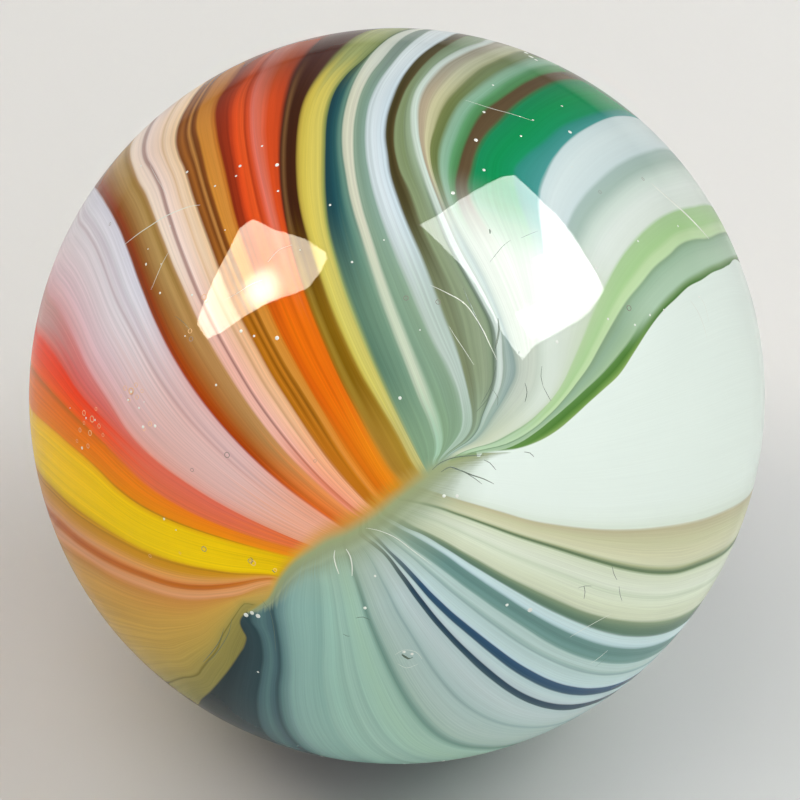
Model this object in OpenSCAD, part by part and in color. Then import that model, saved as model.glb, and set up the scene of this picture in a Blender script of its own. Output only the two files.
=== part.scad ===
// Glass marble with a folded swirl, in millimetres.
// One solid ball of glass. Its ribbons of coloured glass run out of a folded
// seam on the near side and meet again in a second fold on the far side.
// +Z is up, the seam faces -Y, and the origin is the centre of the ball.

/* [Ball] */
// Diameter of the marble
ball_d = 16; // [12:0.5:25]

/* [Chips] */
// Radius of the round scoop that each chip at the seam's end leaves
seam_chip_r = 0.2; // [0.15:0.01:0.5]
// How deep the chips at the seam's end go
seam_chip_depth = 0.03; // [0.02:0.01:0.1]
// Spacing of the chips along the seam's end
seam_chip_pitch = 0.31; // [0.25:0.01:0.6]
// Radius of the scoop of the worn pits on the left side
pit_r = 0.25; // [0.15:0.01:0.6]
// How deep the worn pits go
pit_depth = 0.02; // [0.01:0.01:0.08]
// Radius of the scoop of the single nick below the seam
nick_r = 0.3; // [0.2:0.01:0.8]
// How deep the nick goes
nick_depth = 0.03; // [0.02:0.01:0.1]

/* [Hidden] */
$fn = 48;
// Facets of the small round scoops
chip_fn = 24;

ball_r = ball_d / 2;
// Size of the blocks that cut the ball, well past its surface
reach = 2 * ball_d;
// Longest arc, in degrees, that one edge of a wedge outline may span
wedge_step = 40;
// Depth under the surface from which the glass is drawn as one body
body_depth = 0.3;

// Places on the ball are [azimuth, elevation] in degrees, azimuth 0 at +X.
// The two ends of the seam's fold line
SEAM_LOW = [-113, 5];
SEAM_HIGH = [-73, 32];
// The far fold, where every ribbon ends
FAR_FOLD = [28, -24];
// The upper and lower fans spread from lines that leave the ball here
UPPER_FOCUS = [-72, 8];
LOWER_FOCUS = [-95, 30];
// Worn places
PITS = [[-139.5, 29], [-145.5, 20], [-141.5, 19]];
NICK = [-89, -1];

// Upper fan: each ribbon ends at an angle about its line, in degrees, and
// starts where the one before it ends
UPPER_START = 20;
UPPER_RIBBONS = [
    [64, "#8f8a48"],     // olive end
    [72, "#cfa352"],     // amber
    [78, "#d9a064"],     // peach amber
    [82.5, "#b8682c"],   // rust
    [85.5, "#cc8a28"],   // ochre
    [93.5, "#f5cf10"],   // yellow
    [97.5, "#ee7e10"],   // orange
    [101.5, "#e6481c"],  // red
    [104, "#d9796f"],    // coral
    [117, "#dccbd2"],    // pinkish white
    [118.5, "#8c3a1c"],  // rust edge
    [121.5, "#a2855a"],  // tan
    [127, "#e8cfba"],    // cream
    [129, "#8a4f1e"],    // brown
    [132, "#d28830"],    // ochre orange
    [138, "#e2501c"],    // red orange
    [139.5, "#4a2418"],  // dark brown
    [142.5, "#d8c65c"],  // olive yellow
    [144.5, "#1f4448"],  // dark teal
    [146, "#6f907e"],    // grey green
    [147.5, "#d6d8c0"],  // cream line
    [149, "#7f9c8a"],    // grey green
    [151, "#cfdde0"],    // bluish white
    [153, "#56543a"],    // dark olive
    [155.5, "#bcbf9a"],  // olive cream
    [157.5, "#5c9a72"],  // clear green
    [159, "#5e4c34"],    // brown
    [168, "#149058"],    // vivid green
    [170, "#3f938c"],    // teal
    [176, "#d3e2e2"],    // bluish white
    [177.5, "#8fb0b0"],  // teal shade
    [184, "#dfe8e0"],    // white
    [188.5, "#a6cc92"],  // light green
    [191, "#9db8a0"],    // grey green
    [192, "#5f9058"],    // dark green edge
    [240, "#dde9e2"],    // white
];

// Lower fan, turned the same way, from the white field round to the dark end
LOWER_START = -170;
LOWER_RIBBONS = [
    [-87.5, "#dde9e2"],  // white
    [-77, "#cdcdac"],    // khaki
    [-74.5, "#6d8062"],  // olive line
    [-60, "#d6dfc6"],    // cream
    [-56, "#5f7f6c"],    // olive grey
    [-53, "#c8dce0"],    // light blue
    [-48, "#6f938f"],    // teal grey
    [-40, "#c3d5da"],    // pale blue
    [-37.5, "#2c537c"],  // deep blue
    [-35, "#bccfd6"],    // pale blue
    [-32.5, "#2f4654"],  // blue black
    [-24, "#b3c6c8"],    // pale grey blue
    [-14.5, "#a9c0b8"],  // grey green
    [-12.5, "#6f9088"],  // dark curve
    [0, "#94b3a8"],      // teal grey
    [11, "#82a49e"],     // deeper teal grey
    [15, "#4c6a72"],     // blue grey
    [60, "#3c5462"],     // dark blue grey
];

// Unit vector that points to a place on the ball
function towards(place) = [
    cos(place[1]) * cos(place[0]),
    cos(place[1]) * sin(place[0]),
    sin(place[1])
];

// Azimuth and elevation of a vector
function place_of(v) = [atan2(v[1], v[0]), asin(v[2] / norm(v))];

// Where a ribbon starts: the end of the one before it
function ribbon_start(ribbons, i, first) = i == 0 ? first : ribbons[i - 1][0];

// Turns +Z to a place on the ball
module aimed(place) {
    rotate([0, 90 - place[1], place[0]]) children();
}

module ball() {
    sphere(d = ball_d);
}

// Wedge between two angles about the line from a fan's focus to the far fold
module fan_wedge(focus, from_angle, to_angle) {
    start = towards(focus) * ball_r;
    end = towards(FAR_FOLD) * ball_r;
    edges = ceil((to_angle - from_angle) / wedge_step);
    step = (to_angle - from_angle) / edges;
    outline = [for (i = [0 : edges]) reach * [cos(from_angle + i * step), sin(from_angle + i * step)]];
    translate((start + end) / 2)
        aimed(place_of(end - start))
            linear_extrude(height = 2 * reach, center = true)
                polygon(concat([[0, 0]], outline));
}

// Block on one side of the plane through the seam and the far fold
module seam_side(upper) {
    low = towards(SEAM_LOW) * ball_r;
    high = towards(SEAM_HIGH) * ball_r;
    far = towards(FAR_FOLD) * ball_r;
    normal = cross(high - low, far - low);
    away = upper ? normal : -normal;
    translate(low)
        aimed(place_of(away))
            translate([-reach, -reach, 0])
                cube([2 * reach, 2 * reach, reach]);
}

// The glass under the surface. It overlaps the ribbons, so that they and it
// come out as one solid piece, and none of it shows
module body() {
    color("whitesmoke")
        sphere(r = ball_r - body_depth);
}

// One fan of ribbons, cut off at the seam
module fan(focus, ribbons, first, upper) {
    for (i = [0 : len(ribbons) - 1])
        color(ribbons[i][1])
            intersection() {
                ball();
                seam_side(upper);
                fan_wedge(focus, ribbon_start(ribbons, i, first), ribbons[i][0]);
            }
}

// Round scoop that a chip leaves in the surface
module scoop(place, radius, depth) {
    aimed(place)
        translate([0, 0, ball_r + radius - depth])
            sphere(r = radius, $fn = chip_fn);
}

module chips() {
    pitch_angle = seam_chip_pitch / ball_r * 180 / PI;
    for (side = [-0.5, 0.5])
        scoop([SEAM_LOW[0] + side * pitch_angle, SEAM_LOW[1]], seam_chip_r, seam_chip_depth);
    for (place = PITS)
        scoop(place, pit_r, pit_depth);
    scoop(NICK, nick_r, nick_depth);
}

module marble() {
    difference() {
        union() {
            body();
            fan(UPPER_FOCUS, UPPER_RIBBONS, UPPER_START, true);
            fan(LOWER_FOCUS, LOWER_RIBBONS, LOWER_START, false);
        }
        color("white") chips();
    }
}

marble();
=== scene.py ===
"""Dresses a worn swirl glass marble: two fans of coloured ribbons that meet at a seam."""
import logging
import math
from dataclasses import dataclass
from enum import Enum

import bmesh
import bpy
import numpy as np
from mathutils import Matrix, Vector
from mathutils.geometry import tessellate_polygon

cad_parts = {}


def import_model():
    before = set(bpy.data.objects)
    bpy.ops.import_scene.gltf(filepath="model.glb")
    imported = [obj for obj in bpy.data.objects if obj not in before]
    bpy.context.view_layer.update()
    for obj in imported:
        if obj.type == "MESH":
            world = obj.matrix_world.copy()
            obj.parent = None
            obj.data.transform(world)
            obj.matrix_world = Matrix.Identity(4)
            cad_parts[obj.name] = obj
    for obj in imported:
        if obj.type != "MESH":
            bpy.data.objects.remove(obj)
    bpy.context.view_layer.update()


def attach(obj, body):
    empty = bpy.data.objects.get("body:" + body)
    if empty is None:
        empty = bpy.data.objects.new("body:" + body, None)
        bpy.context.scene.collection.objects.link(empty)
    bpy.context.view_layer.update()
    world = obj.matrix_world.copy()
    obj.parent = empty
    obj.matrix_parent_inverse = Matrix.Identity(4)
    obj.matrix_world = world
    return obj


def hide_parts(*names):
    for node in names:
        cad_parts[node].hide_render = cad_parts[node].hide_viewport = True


LOG = logging.getLogger("marble")

Pair = tuple[float, float]
Triple = tuple[float, float, float]
Stops = tuple[tuple[float, str], ...]
Guide = tuple[Pair, ...]
Guides = tuple[tuple[float, Guide], ...]
Socket = bpy.types.NodeSocket

FULL_TURN = 360.0
MILLIMETRES = 1000.0
# The most stops that one colour ramp takes
RAMP_STOPS = 32
# How far apart the points of a smooth run stand, in ball radii
RUN_STEP = 0.01

# In metres
BALL_RADIUS = 0.008
# The picture's width and where the ball stands in it, in pixels
PHOTO_WIDTH = 800
BALL_MIDDLE = (397.0, 396.0)
BALL_PIXELS = 368.0
# A pixel's width at the ball, in metres
PIXEL = BALL_RADIUS / BALL_PIXELS
# The camera's distance in ball radii and its height above the floor plane
CAMERA_RADII = 9.0
CAMERA_ELEVATION = 40.0

# Places on the ball: azimuth and elevation in degrees
FAR_FOLD = (28.0, -24.0)
UPPER_FOCUS = (-72.0, 8.0)
LOWER_FOCUS = (-95.0, 30.0)
SEAM_LOW = (-113.0, 5.0)
PITS = ((-139.5, 29.0), (-145.5, 20.0), (-141.5, 19.0))
NICK = (-89.0, -1.0)


class Side(Enum):
    """The two fans of ribbons."""

    UPPER = "upper"
    LOWER = "lower"


# A guide is a ribbon edge: its number on the ribbon scale, and where it runs, as
# (way from the fan's focus to the far fold, angle about the fan's line)
UPPER_GUIDES: Guides = (
    (62.5, ((0.165, 80.0), (0.18, 75.0), (0.195, 71.0), (0.207, 68.0), (0.227, 65.0), (0.24, 63.4),
            (0.25, 62.3), (0.28, 61.2), (0.32, 59.5), (0.40, 57.0), (0.60, 55.0))),
    (80.0, ((0.145, 86.0), (0.155, 84.0), (0.165, 82.0), (0.185, 80.0), (0.20, 79.0), (0.215, 78.6),
            (0.24, 78.9), (0.27, 79.4), (0.30, 80.0), (0.33, 79.8), (0.37, 79.0), (0.60, 77.0))),
    (82.2, ((0.142, 88.0), (0.15, 87.0), (0.163, 85.0), (0.18, 83.0), (0.195, 81.9), (0.21, 81.4),
            (0.24, 81.6), (0.27, 81.9), (0.30, 82.2), (0.33, 82.5), (0.36, 82.0), (0.60, 80.0))),
    (86.4, ((0.142, 88.8), (0.15, 88.2), (0.165, 87.0), (0.185, 86.2), (0.20, 85.8), (0.23, 85.7),
            (0.25, 86.0), (0.27, 86.2), (0.30, 86.4), (0.33, 86.5), (0.36, 86.0), (0.60, 84.0))),
    (87.3, ((0.142, 89.2), (0.15, 88.7), (0.165, 87.5), (0.18, 86.8), (0.20, 86.3), (0.23, 86.4),
            (0.25, 86.8), (0.27, 87.1), (0.30, 87.3), (0.33, 87.3), (0.36, 86.8), (0.60, 85.0))),
    (95.0, ((0.13, 95.4), (0.15, 94.8), (0.18, 94.0), (0.20, 93.6), (0.225, 93.4), (0.25, 94.0),
            (0.27, 94.9), (0.30, 95.0), (0.33, 94.5), (0.36, 93.4), (0.38, 92.6), (0.60, 90.0))),
    (99.0, ((0.13, 98.2), (0.15, 97.5), (0.18, 97.0), (0.20, 97.0), (0.225, 97.5), (0.25, 98.6),
            (0.27, 99.2), (0.30, 99.2), (0.33, 98.8), (0.36, 98.0), (0.40, 96.5), (0.60, 94.0))),
    (102.2, ((0.13, 100.3), (0.15, 100.4), (0.18, 100.6), (0.20, 100.9), (0.225, 101.1), (0.25, 101.6),
             (0.27, 101.9), (0.30, 102.0), (0.33, 102.4), (0.36, 101.8), (0.40, 100.0), (0.60, 97.0))),
    (105.3, ((0.13, 100.7), (0.15, 100.8), (0.18, 101.0), (0.20, 101.3), (0.225, 101.8), (0.25, 102.8),
             (0.27, 104.2), (0.30, 105.3), (0.33, 106.2), (0.36, 105.8), (0.40, 104.0), (0.60, 100.0))),
    (114.0, ((0.12, 107.2), (0.15, 108.3), (0.17, 109.2), (0.19, 110.0), (0.22, 111.1), (0.25, 112.4),
             (0.28, 113.6), (0.30, 114.0), (0.35, 114.5), (0.38, 113.6), (0.42, 111.5), (0.60, 106.0))),
    (117.7, ((0.11, 110.4), (0.13, 111.3), (0.15, 112.0), (0.175, 113.0), (0.20, 114.0), (0.225, 115.0),
             (0.25, 116.0), (0.28, 117.1), (0.30, 117.7), (0.34, 118.1), (0.365, 117.6), (0.39, 116.6),
             (0.42, 115.0), (0.455, 112.8), (0.60, 108.0))),
    (122.7, ((0.11, 116.2), (0.14, 117.5), (0.16, 118.3), (0.18, 119.3), (0.20, 120.2), (0.22, 121.0),
             (0.25, 121.8), (0.28, 122.5), (0.30, 122.7), (0.32, 122.8), (0.36, 122.3), (0.38, 121.5),
             (0.40, 120.8), (0.42, 120.0), (0.45, 119.0), (0.60, 116.0))),
    (124.1, ((0.11, 117.6), (0.14, 119.0), (0.16, 120.0), (0.18, 120.9), (0.20, 121.7), (0.22, 122.5),
             (0.25, 123.3), (0.27, 123.7), (0.30, 124.1), (0.34, 124.2), (0.36, 124.0), (0.38, 123.3),
             (0.40, 122.3), (0.42, 121.7), (0.45, 121.3), (0.47, 121.0), (0.60, 118.5))),
    (128.0, ((0.11, 121.6), (0.14, 123.5), (0.16, 124.8), (0.18, 125.8), (0.20, 126.4), (0.22, 127.0),
             (0.25, 127.4), (0.30, 128.0), (0.34, 127.8), (0.36, 127.5), (0.38, 126.8), (0.40, 126.4),
             (0.42, 126.5), (0.45, 127.0), (0.48, 126.9), (0.60, 124.0))),
    (130.1, ((0.11, 124.8), (0.14, 127.0), (0.16, 128.3), (0.18, 129.0), (0.20, 129.3), (0.22, 129.6),
             (0.25, 130.0), (0.30, 130.1), (0.34, 129.9), (0.38, 129.3), (0.40, 128.8), (0.42, 128.7),
             (0.45, 129.0), (0.48, 128.9), (0.60, 126.5))),
    (132.0, ((0.11, 126.5), (0.14, 128.5), (0.16, 129.8), (0.18, 130.5), (0.20, 131.0), (0.22, 131.3),
             (0.25, 131.7), (0.30, 132.0), (0.34, 132.0), (0.38, 131.4), (0.42, 130.9), (0.45, 131.7),
             (0.48, 131.6), (0.60, 129.5))),
    (133.2, ((0.11, 128.5), (0.14, 130.6), (0.16, 131.4), (0.20, 132.2), (0.25, 133.0), (0.30, 133.2),
             (0.34, 133.3), (0.38, 133.0), (0.42, 132.8), (0.45, 133.4), (0.60, 131.5))),
    (136.3, ((0.11, 131.5), (0.16, 134.6), (0.20, 135.5), (0.25, 136.1), (0.30, 136.3), (0.34, 136.1),
             (0.38, 135.7), (0.42, 135.3), (0.46, 135.2), (0.60, 133.5))),
    (137.8, ((0.12, 134.0), (0.14, 135.0), (0.16, 135.8), (0.18, 136.2), (0.20, 136.6), (0.22, 136.9),
             (0.25, 137.3), (0.30, 137.8), (0.34, 138.3), (0.38, 138.8), (0.42, 139.0), (0.48, 139.2),
             (0.60, 138.0))),
    (139.8, ((0.12, 140.5), (0.14, 141.0), (0.16, 140.7), (0.18, 140.3), (0.20, 140.1), (0.25, 140.0),
             (0.30, 139.8), (0.34, 140.2), (0.38, 140.6), (0.40, 141.0), (0.42, 141.6), (0.45, 142.4),
             (0.48, 142.7), (0.60, 142.0))),
    (142.8, ((0.12, 143.0), (0.16, 143.2), (0.20, 143.0), (0.25, 142.7), (0.28, 142.6), (0.30, 142.8),
             (0.34, 143.3), (0.38, 143.5), (0.40, 143.8), (0.42, 144.5), (0.45, 145.8), (0.50, 146.3),
             (0.60, 145.5))),
    (146.0, ((0.115, 145.2), (0.125, 148.4), (0.14, 149.6), (0.16, 149.3), (0.18, 149.0), (0.20, 148.5),
             (0.22, 148.0), (0.25, 147.3), (0.27, 146.8), (0.30, 146.0), (0.32, 145.7), (0.34, 145.4),
             (0.36, 145.3), (0.40, 145.6), (0.45, 146.2), (0.50, 146.6), (0.55, 146.7), (0.60, 146.6))),
    (147.0, ((0.115, 145.8), (0.125, 149.8), (0.14, 151.2), (0.16, 151.0), (0.18, 150.5), (0.20, 149.9),
             (0.22, 149.2), (0.25, 148.3), (0.27, 147.8), (0.30, 147.0), (0.34, 146.5), (0.38, 146.5),
             (0.42, 147.0), (0.45, 147.6), (0.50, 147.7), (0.55, 147.4), (0.60, 147.2))),
    (149.0, ((0.115, 146.6), (0.122, 150.4), (0.13, 154.0), (0.14, 156.6), (0.16, 157.6), (0.18, 156.6),
             (0.20, 154.6), (0.22, 153.2), (0.24, 152.0), (0.26, 150.8), (0.28, 149.8), (0.30, 149.0),
             (0.32, 148.4), (0.34, 148.0), (0.38, 147.8), (0.40, 148.0), (0.45, 149.0), (0.50, 149.2),
             (0.55, 148.3), (0.60, 147.6))),
    (152.0, ((0.115, 147.2), (0.122, 151.4), (0.13, 156.2), (0.14, 159.2), (0.15, 160.0), (0.163, 159.9),
             (0.18, 159.4), (0.20, 158.4), (0.22, 157.0), (0.24, 155.8), (0.26, 154.6), (0.28, 153.2),
             (0.30, 152.0), (0.32, 151.0), (0.34, 150.5), (0.36, 150.1), (0.40, 150.3), (0.45, 151.0),
             (0.50, 151.7), (0.52, 151.6), (0.57, 150.5), (0.60, 150.0))),
    (153.2, ((0.115, 147.5), (0.122, 151.9), (0.13, 157.0), (0.14, 160.1), (0.15, 161.2), (0.165, 161.8),
             (0.18, 161.6), (0.20, 160.8), (0.22, 160.0), (0.24, 158.6), (0.26, 156.8), (0.28, 155.0),
             (0.31, 153.2), (0.33, 151.8), (0.36, 151.0), (0.40, 151.2), (0.44, 151.9), (0.47, 152.4),
             (0.50, 152.7), (0.53, 152.5), (0.57, 151.5), (0.60, 151.0))),
    (155.0, ((0.115, 147.8), (0.122, 152.3), (0.13, 157.7), (0.14, 160.9), (0.15, 162.4), (0.16, 163.9),
             (0.168, 164.9), (0.178, 165.8), (0.19, 166.1), (0.20, 166.0), (0.22, 165.3), (0.235, 163.3),
             (0.25, 161.2), (0.27, 158.7), (0.29, 157.0), (0.31, 155.6), (0.33, 154.4), (0.35, 153.4),
             (0.37, 152.7), (0.40, 152.3), (0.44, 152.9), (0.50, 154.3), (0.53, 154.6), (0.57, 153.5),
             (0.60, 153.0))),
    (155.8, ((0.115, 148.1), (0.122, 152.7), (0.13, 158.2), (0.14, 161.5), (0.15, 163.3), (0.16, 164.9),
             (0.168, 166.0), (0.178, 166.9), (0.19, 167.2), (0.20, 167.0), (0.22, 166.4), (0.235, 164.6),
             (0.25, 162.5), (0.27, 159.8), (0.29, 157.9), (0.31, 156.4), (0.33, 155.1), (0.35, 154.1),
             (0.37, 153.4), (0.40, 152.9), (0.44, 153.5), (0.50, 155.0), (0.53, 155.2), (0.57, 154.2),
             (0.60, 153.6))),
    (159.0, ((0.115, 148.4), (0.122, 153.1), (0.13, 158.9), (0.14, 162.3), (0.15, 164.5), (0.162, 166.8),
             (0.178, 168.9), (0.19, 169.9), (0.20, 169.6), (0.21, 168.6), (0.222, 167.2), (0.25, 164.0),
             (0.29, 159.0), (0.314, 156.9), (0.345, 155.4), (0.375, 155.6), (0.405, 156.2), (0.436, 157.2),
             (0.467, 158.0), (0.50, 158.7), (0.56, 158.5), (0.60, 158.0))),
    (161.5, ((0.115, 148.7), (0.122, 153.5), (0.13, 159.6), (0.14, 163.3), (0.15, 165.9), (0.165, 168.9),
             (0.18, 171.0), (0.20, 171.6), (0.22, 170.0), (0.26, 165.0), (0.30, 159.8), (0.32, 158.6),
             (0.344, 158.6), (0.375, 159.1), (0.405, 159.8), (0.436, 161.2), (0.467, 162.2), (0.50, 162.9),
             (0.56, 163.6), (0.60, 163.2))),
    (163.0, ((0.115, 149.0), (0.122, 153.9), (0.13, 160.2), (0.14, 164.1), (0.15, 167.0), (0.165, 170.3),
             (0.18, 172.5), (0.20, 173.2), (0.22, 172.4), (0.24, 170.6), (0.28, 165.6), (0.32, 160.4),
             (0.344, 160.2), (0.375, 160.7), (0.405, 161.9), (0.436, 162.9), (0.467, 163.8), (0.50, 164.5),
             (0.56, 165.3), (0.60, 165.0))),
    (169.0, ((0.115, 149.3), (0.122, 154.3), (0.13, 161.4), (0.14, 165.7), (0.15, 169.0), (0.165, 172.6),
             (0.18, 174.8), (0.20, 175.4), (0.22, 174.6), (0.24, 173.4), (0.30, 170.0), (0.357, 165.4),
             (0.375, 166.0), (0.405, 167.6), (0.436, 168.6), (0.467, 169.9), (0.50, 170.9), (0.56, 171.8),
             (0.60, 172.0))),
    (171.0, ((0.115, 149.6), (0.122, 154.7), (0.13, 162.1), (0.14, 166.6), (0.15, 170.0), (0.165, 173.6),
             (0.18, 175.9), (0.20, 176.6), (0.22, 175.8), (0.24, 174.7), (0.30, 171.5), (0.344, 169.2),
             (0.375, 169.1), (0.405, 169.5), (0.436, 170.3), (0.467, 171.2), (0.50, 171.9), (0.53, 172.4),
             (0.56, 172.8), (0.60, 172.8))),
    (177.0, ((0.115, 149.9), (0.122, 155.1), (0.13, 162.8), (0.14, 167.6), (0.15, 171.2), (0.165, 174.8),
             (0.18, 177.2), (0.20, 178.2), (0.22, 177.6), (0.24, 176.4), (0.30, 174.2), (0.344, 174.0),
             (0.375, 174.7), (0.405, 175.7), (0.436, 176.6), (0.467, 177.5), (0.50, 178.3), (0.53, 178.7),
             (0.60, 178.8))),
    (185.0, ((0.115, 150.2), (0.122, 155.6), (0.131, 164.2), (0.142, 169.4), (0.157, 174.2), (0.173, 177.3),
             (0.187, 179.2), (0.203, 180.5), (0.222, 181.2), (0.253, 181.8), (0.283, 182.0), (0.314, 182.3),
             (0.344, 182.7), (0.375, 183.4), (0.405, 184.2), (0.436, 185.1), (0.467, 186.1), (0.50, 187.2),
             (0.53, 187.9), (0.60, 188.4))),
    (190.5, ((0.112, 150.6), (0.12, 156.4), (0.129, 165.8), (0.136, 170.0), (0.151, 175.2), (0.171, 179.2),
             (0.19, 181.7), (0.215, 183.8), (0.234, 184.9), (0.253, 185.4), (0.283, 186.0), (0.314, 186.6),
             (0.344, 187.5), (0.375, 188.2), (0.405, 189.2), (0.436, 189.8), (0.467, 191.0), (0.50, 192.4),
             (0.53, 192.9), (0.60, 193.1))),
    (195.2, ((0.112, 151.6), (0.12, 158.2), (0.127, 166.9), (0.136, 171.8), (0.149, 176.0), (0.167, 179.9),
             (0.189, 183.4), (0.211, 186.0), (0.232, 188.0), (0.25, 189.2), (0.267, 190.0), (0.283, 190.6),
             (0.314, 191.0), (0.344, 191.6), (0.405, 193.2), (0.467, 195.1), (0.53, 196.5), (0.60, 196.9))),
    (197.0, ((0.11, 153.0), (0.118, 160.0), (0.126, 168.6), (0.131, 172.0), (0.138, 175.6), (0.148, 179.0),
             (0.163, 182.6), (0.182, 185.6), (0.208, 188.7), (0.226, 190.1), (0.251, 191.7), (0.283, 192.4),
             (0.314, 192.7), (0.344, 193.2), (0.375, 194.1), (0.405, 194.8), (0.436, 196.0),
             (0.467, 196.7), (0.50, 197.6), (0.53, 197.9), (0.60, 198.3))),
)

LOWER_GUIDES: Guides = (
    (-86.5, ((0.05, -84.0), (0.127, -85.0), (0.153, -85.0), (0.192, -84.6), (0.232, -85.2), (0.273, -86.0),
             (0.342, -87.6), (0.40, -88.9), (0.45, -89.9), (0.50, -90.9), (0.57, -91.7), (0.70, -92.5))),
    (-76.2, ((0.05, -57.9), (0.062, -66.1), (0.085, -73.0), (0.114, -75.6), (0.141, -76.6), (0.184, -77.0),
             (0.234, -77.2), (0.288, -76.6), (0.35, -75.7), (0.40, -75.4), (0.44, -75.6), (0.47, -76.3),
             (0.50, -76.9), (0.57, -77.2), (0.70, -77.6))),
    (-60.5, ((0.049, -35.3), (0.061, -43.6), (0.079, -49.8), (0.104, -55.6), (0.143, -58.8), (0.187, -60.0),
             (0.253, -60.9), (0.331, -60.6), (0.40, -60.8), (0.50, -60.8), (0.60, -60.3))),
    (-57.1, ((0.05, -31.0), (0.065, -40.5), (0.079, -46.0), (0.092, -50.5), (0.117, -54.0), (0.157, -56.2),
             (0.202, -57.2), (0.259, -57.3), (0.312, -57.1), (0.377, -56.6), (0.45, -56.4), (0.50, -56.1),
             (0.60, -55.6))),
    (-53.5, ((0.05, -27.5), (0.062, -35.5), (0.075, -41.5), (0.088, -46.0), (0.12, -51.3), (0.154, -53.0),
             (0.201, -54.0), (0.25, -54.0), (0.301, -53.8), (0.40, -53.2), (0.51, -52.7), (0.60, -52.0))),
    (-48.0, ((0.054, -24.0), (0.073, -34.5), (0.10, -41.0), (0.126, -44.8), (0.169, -47.4), (0.214, -48.6),
             (0.26, -49.0), (0.301, -48.6), (0.45, -48.1), (0.60, -47.6))),
    (-44.9, ((0.055, -20.0), (0.073, -29.0), (0.10, -36.8), (0.126, -40.2), (0.169, -43.0), (0.214, -44.4),
             (0.26, -44.9), (0.45, -44.9), (0.60, -44.4))),
    (-39.9, ((0.059, -15.7), (0.07, -22.2), (0.088, -27.8), (0.101, -31.0), (0.121, -33.8), (0.153, -36.2),
             (0.183, -37.8), (0.207, -38.8), (0.229, -39.4), (0.30, -39.9), (0.40, -40.1), (0.49, -40.6),
             (0.60, -41.0))),
    (-37.5, ((0.059, -12.9), (0.07, -19.6), (0.085, -25.2), (0.102, -29.0), (0.123, -31.8), (0.156, -34.0),
             (0.188, -35.6), (0.215, -36.7), (0.25, -37.3), (0.30, -37.5), (0.40, -37.6), (0.49, -38.1),
             (0.60, -38.5))),
    (-33.9, ((0.06, -10.1), (0.068, -16.0), (0.077, -21.2), (0.09, -25.6), (0.113, -29.0), (0.145, -31.3),
             (0.176, -32.4), (0.208, -33.2), (0.25, -33.9), (0.35, -34.0), (0.40, -34.3), (0.45, -34.8),
             (0.48, -35.2), (0.60, -36.0))),
    (-32.4, ((0.062, -7.9), (0.069, -13.7), (0.078, -19.2), (0.09, -23.8), (0.114, -27.2), (0.146, -29.4),
             (0.18, -30.8), (0.21, -31.7), (0.25, -32.3), (0.40, -32.5), (0.45, -32.8), (0.48, -33.4),
             (0.60, -34.0))),
    (-23.4, ((0.064, -3.9), (0.071, -9.0), (0.085, -14.5), (0.117, -19.2), (0.152, -21.2), (0.186, -22.5),
             (0.235, -23.0), (0.295, -23.4), (0.35, -24.2), (0.38, -24.8), (0.42, -25.6), (0.60, -27.0))),
    (-13.8, ((0.069, 1.3), (0.078, -2.2), (0.093, -5.7), (0.117, -9.0), (0.15, -11.2), (0.18, -12.6),
             (0.222, -13.6), (0.273, -14.0), (0.35, -14.2), (0.37, -14.5), (0.40, -15.2), (0.42, -15.8),
             (0.60, -17.0))),
    (2.4, ((0.075, 13.5), (0.085, 11.0), (0.097, 8.8), (0.115, 5.5), (0.155, 2.6), (0.21, 2.4), (0.30, 2.4),
           (0.60, 2.0))),
    (12.1, ((0.10, 21.5), (0.13, 20.3), (0.142, 19.0), (0.164, 15.6), (0.198, 12.7), (0.241, 12.3),
            (0.30, 12.1), (0.36, 11.6), (0.60, 11.0))),
    (16.2, ((0.13, 23.5), (0.165, 22.6), (0.174, 19.6), (0.193, 17.0), (0.224, 16.1), (0.26, 16.3),
            (0.60, 16.0))),
)

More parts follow.
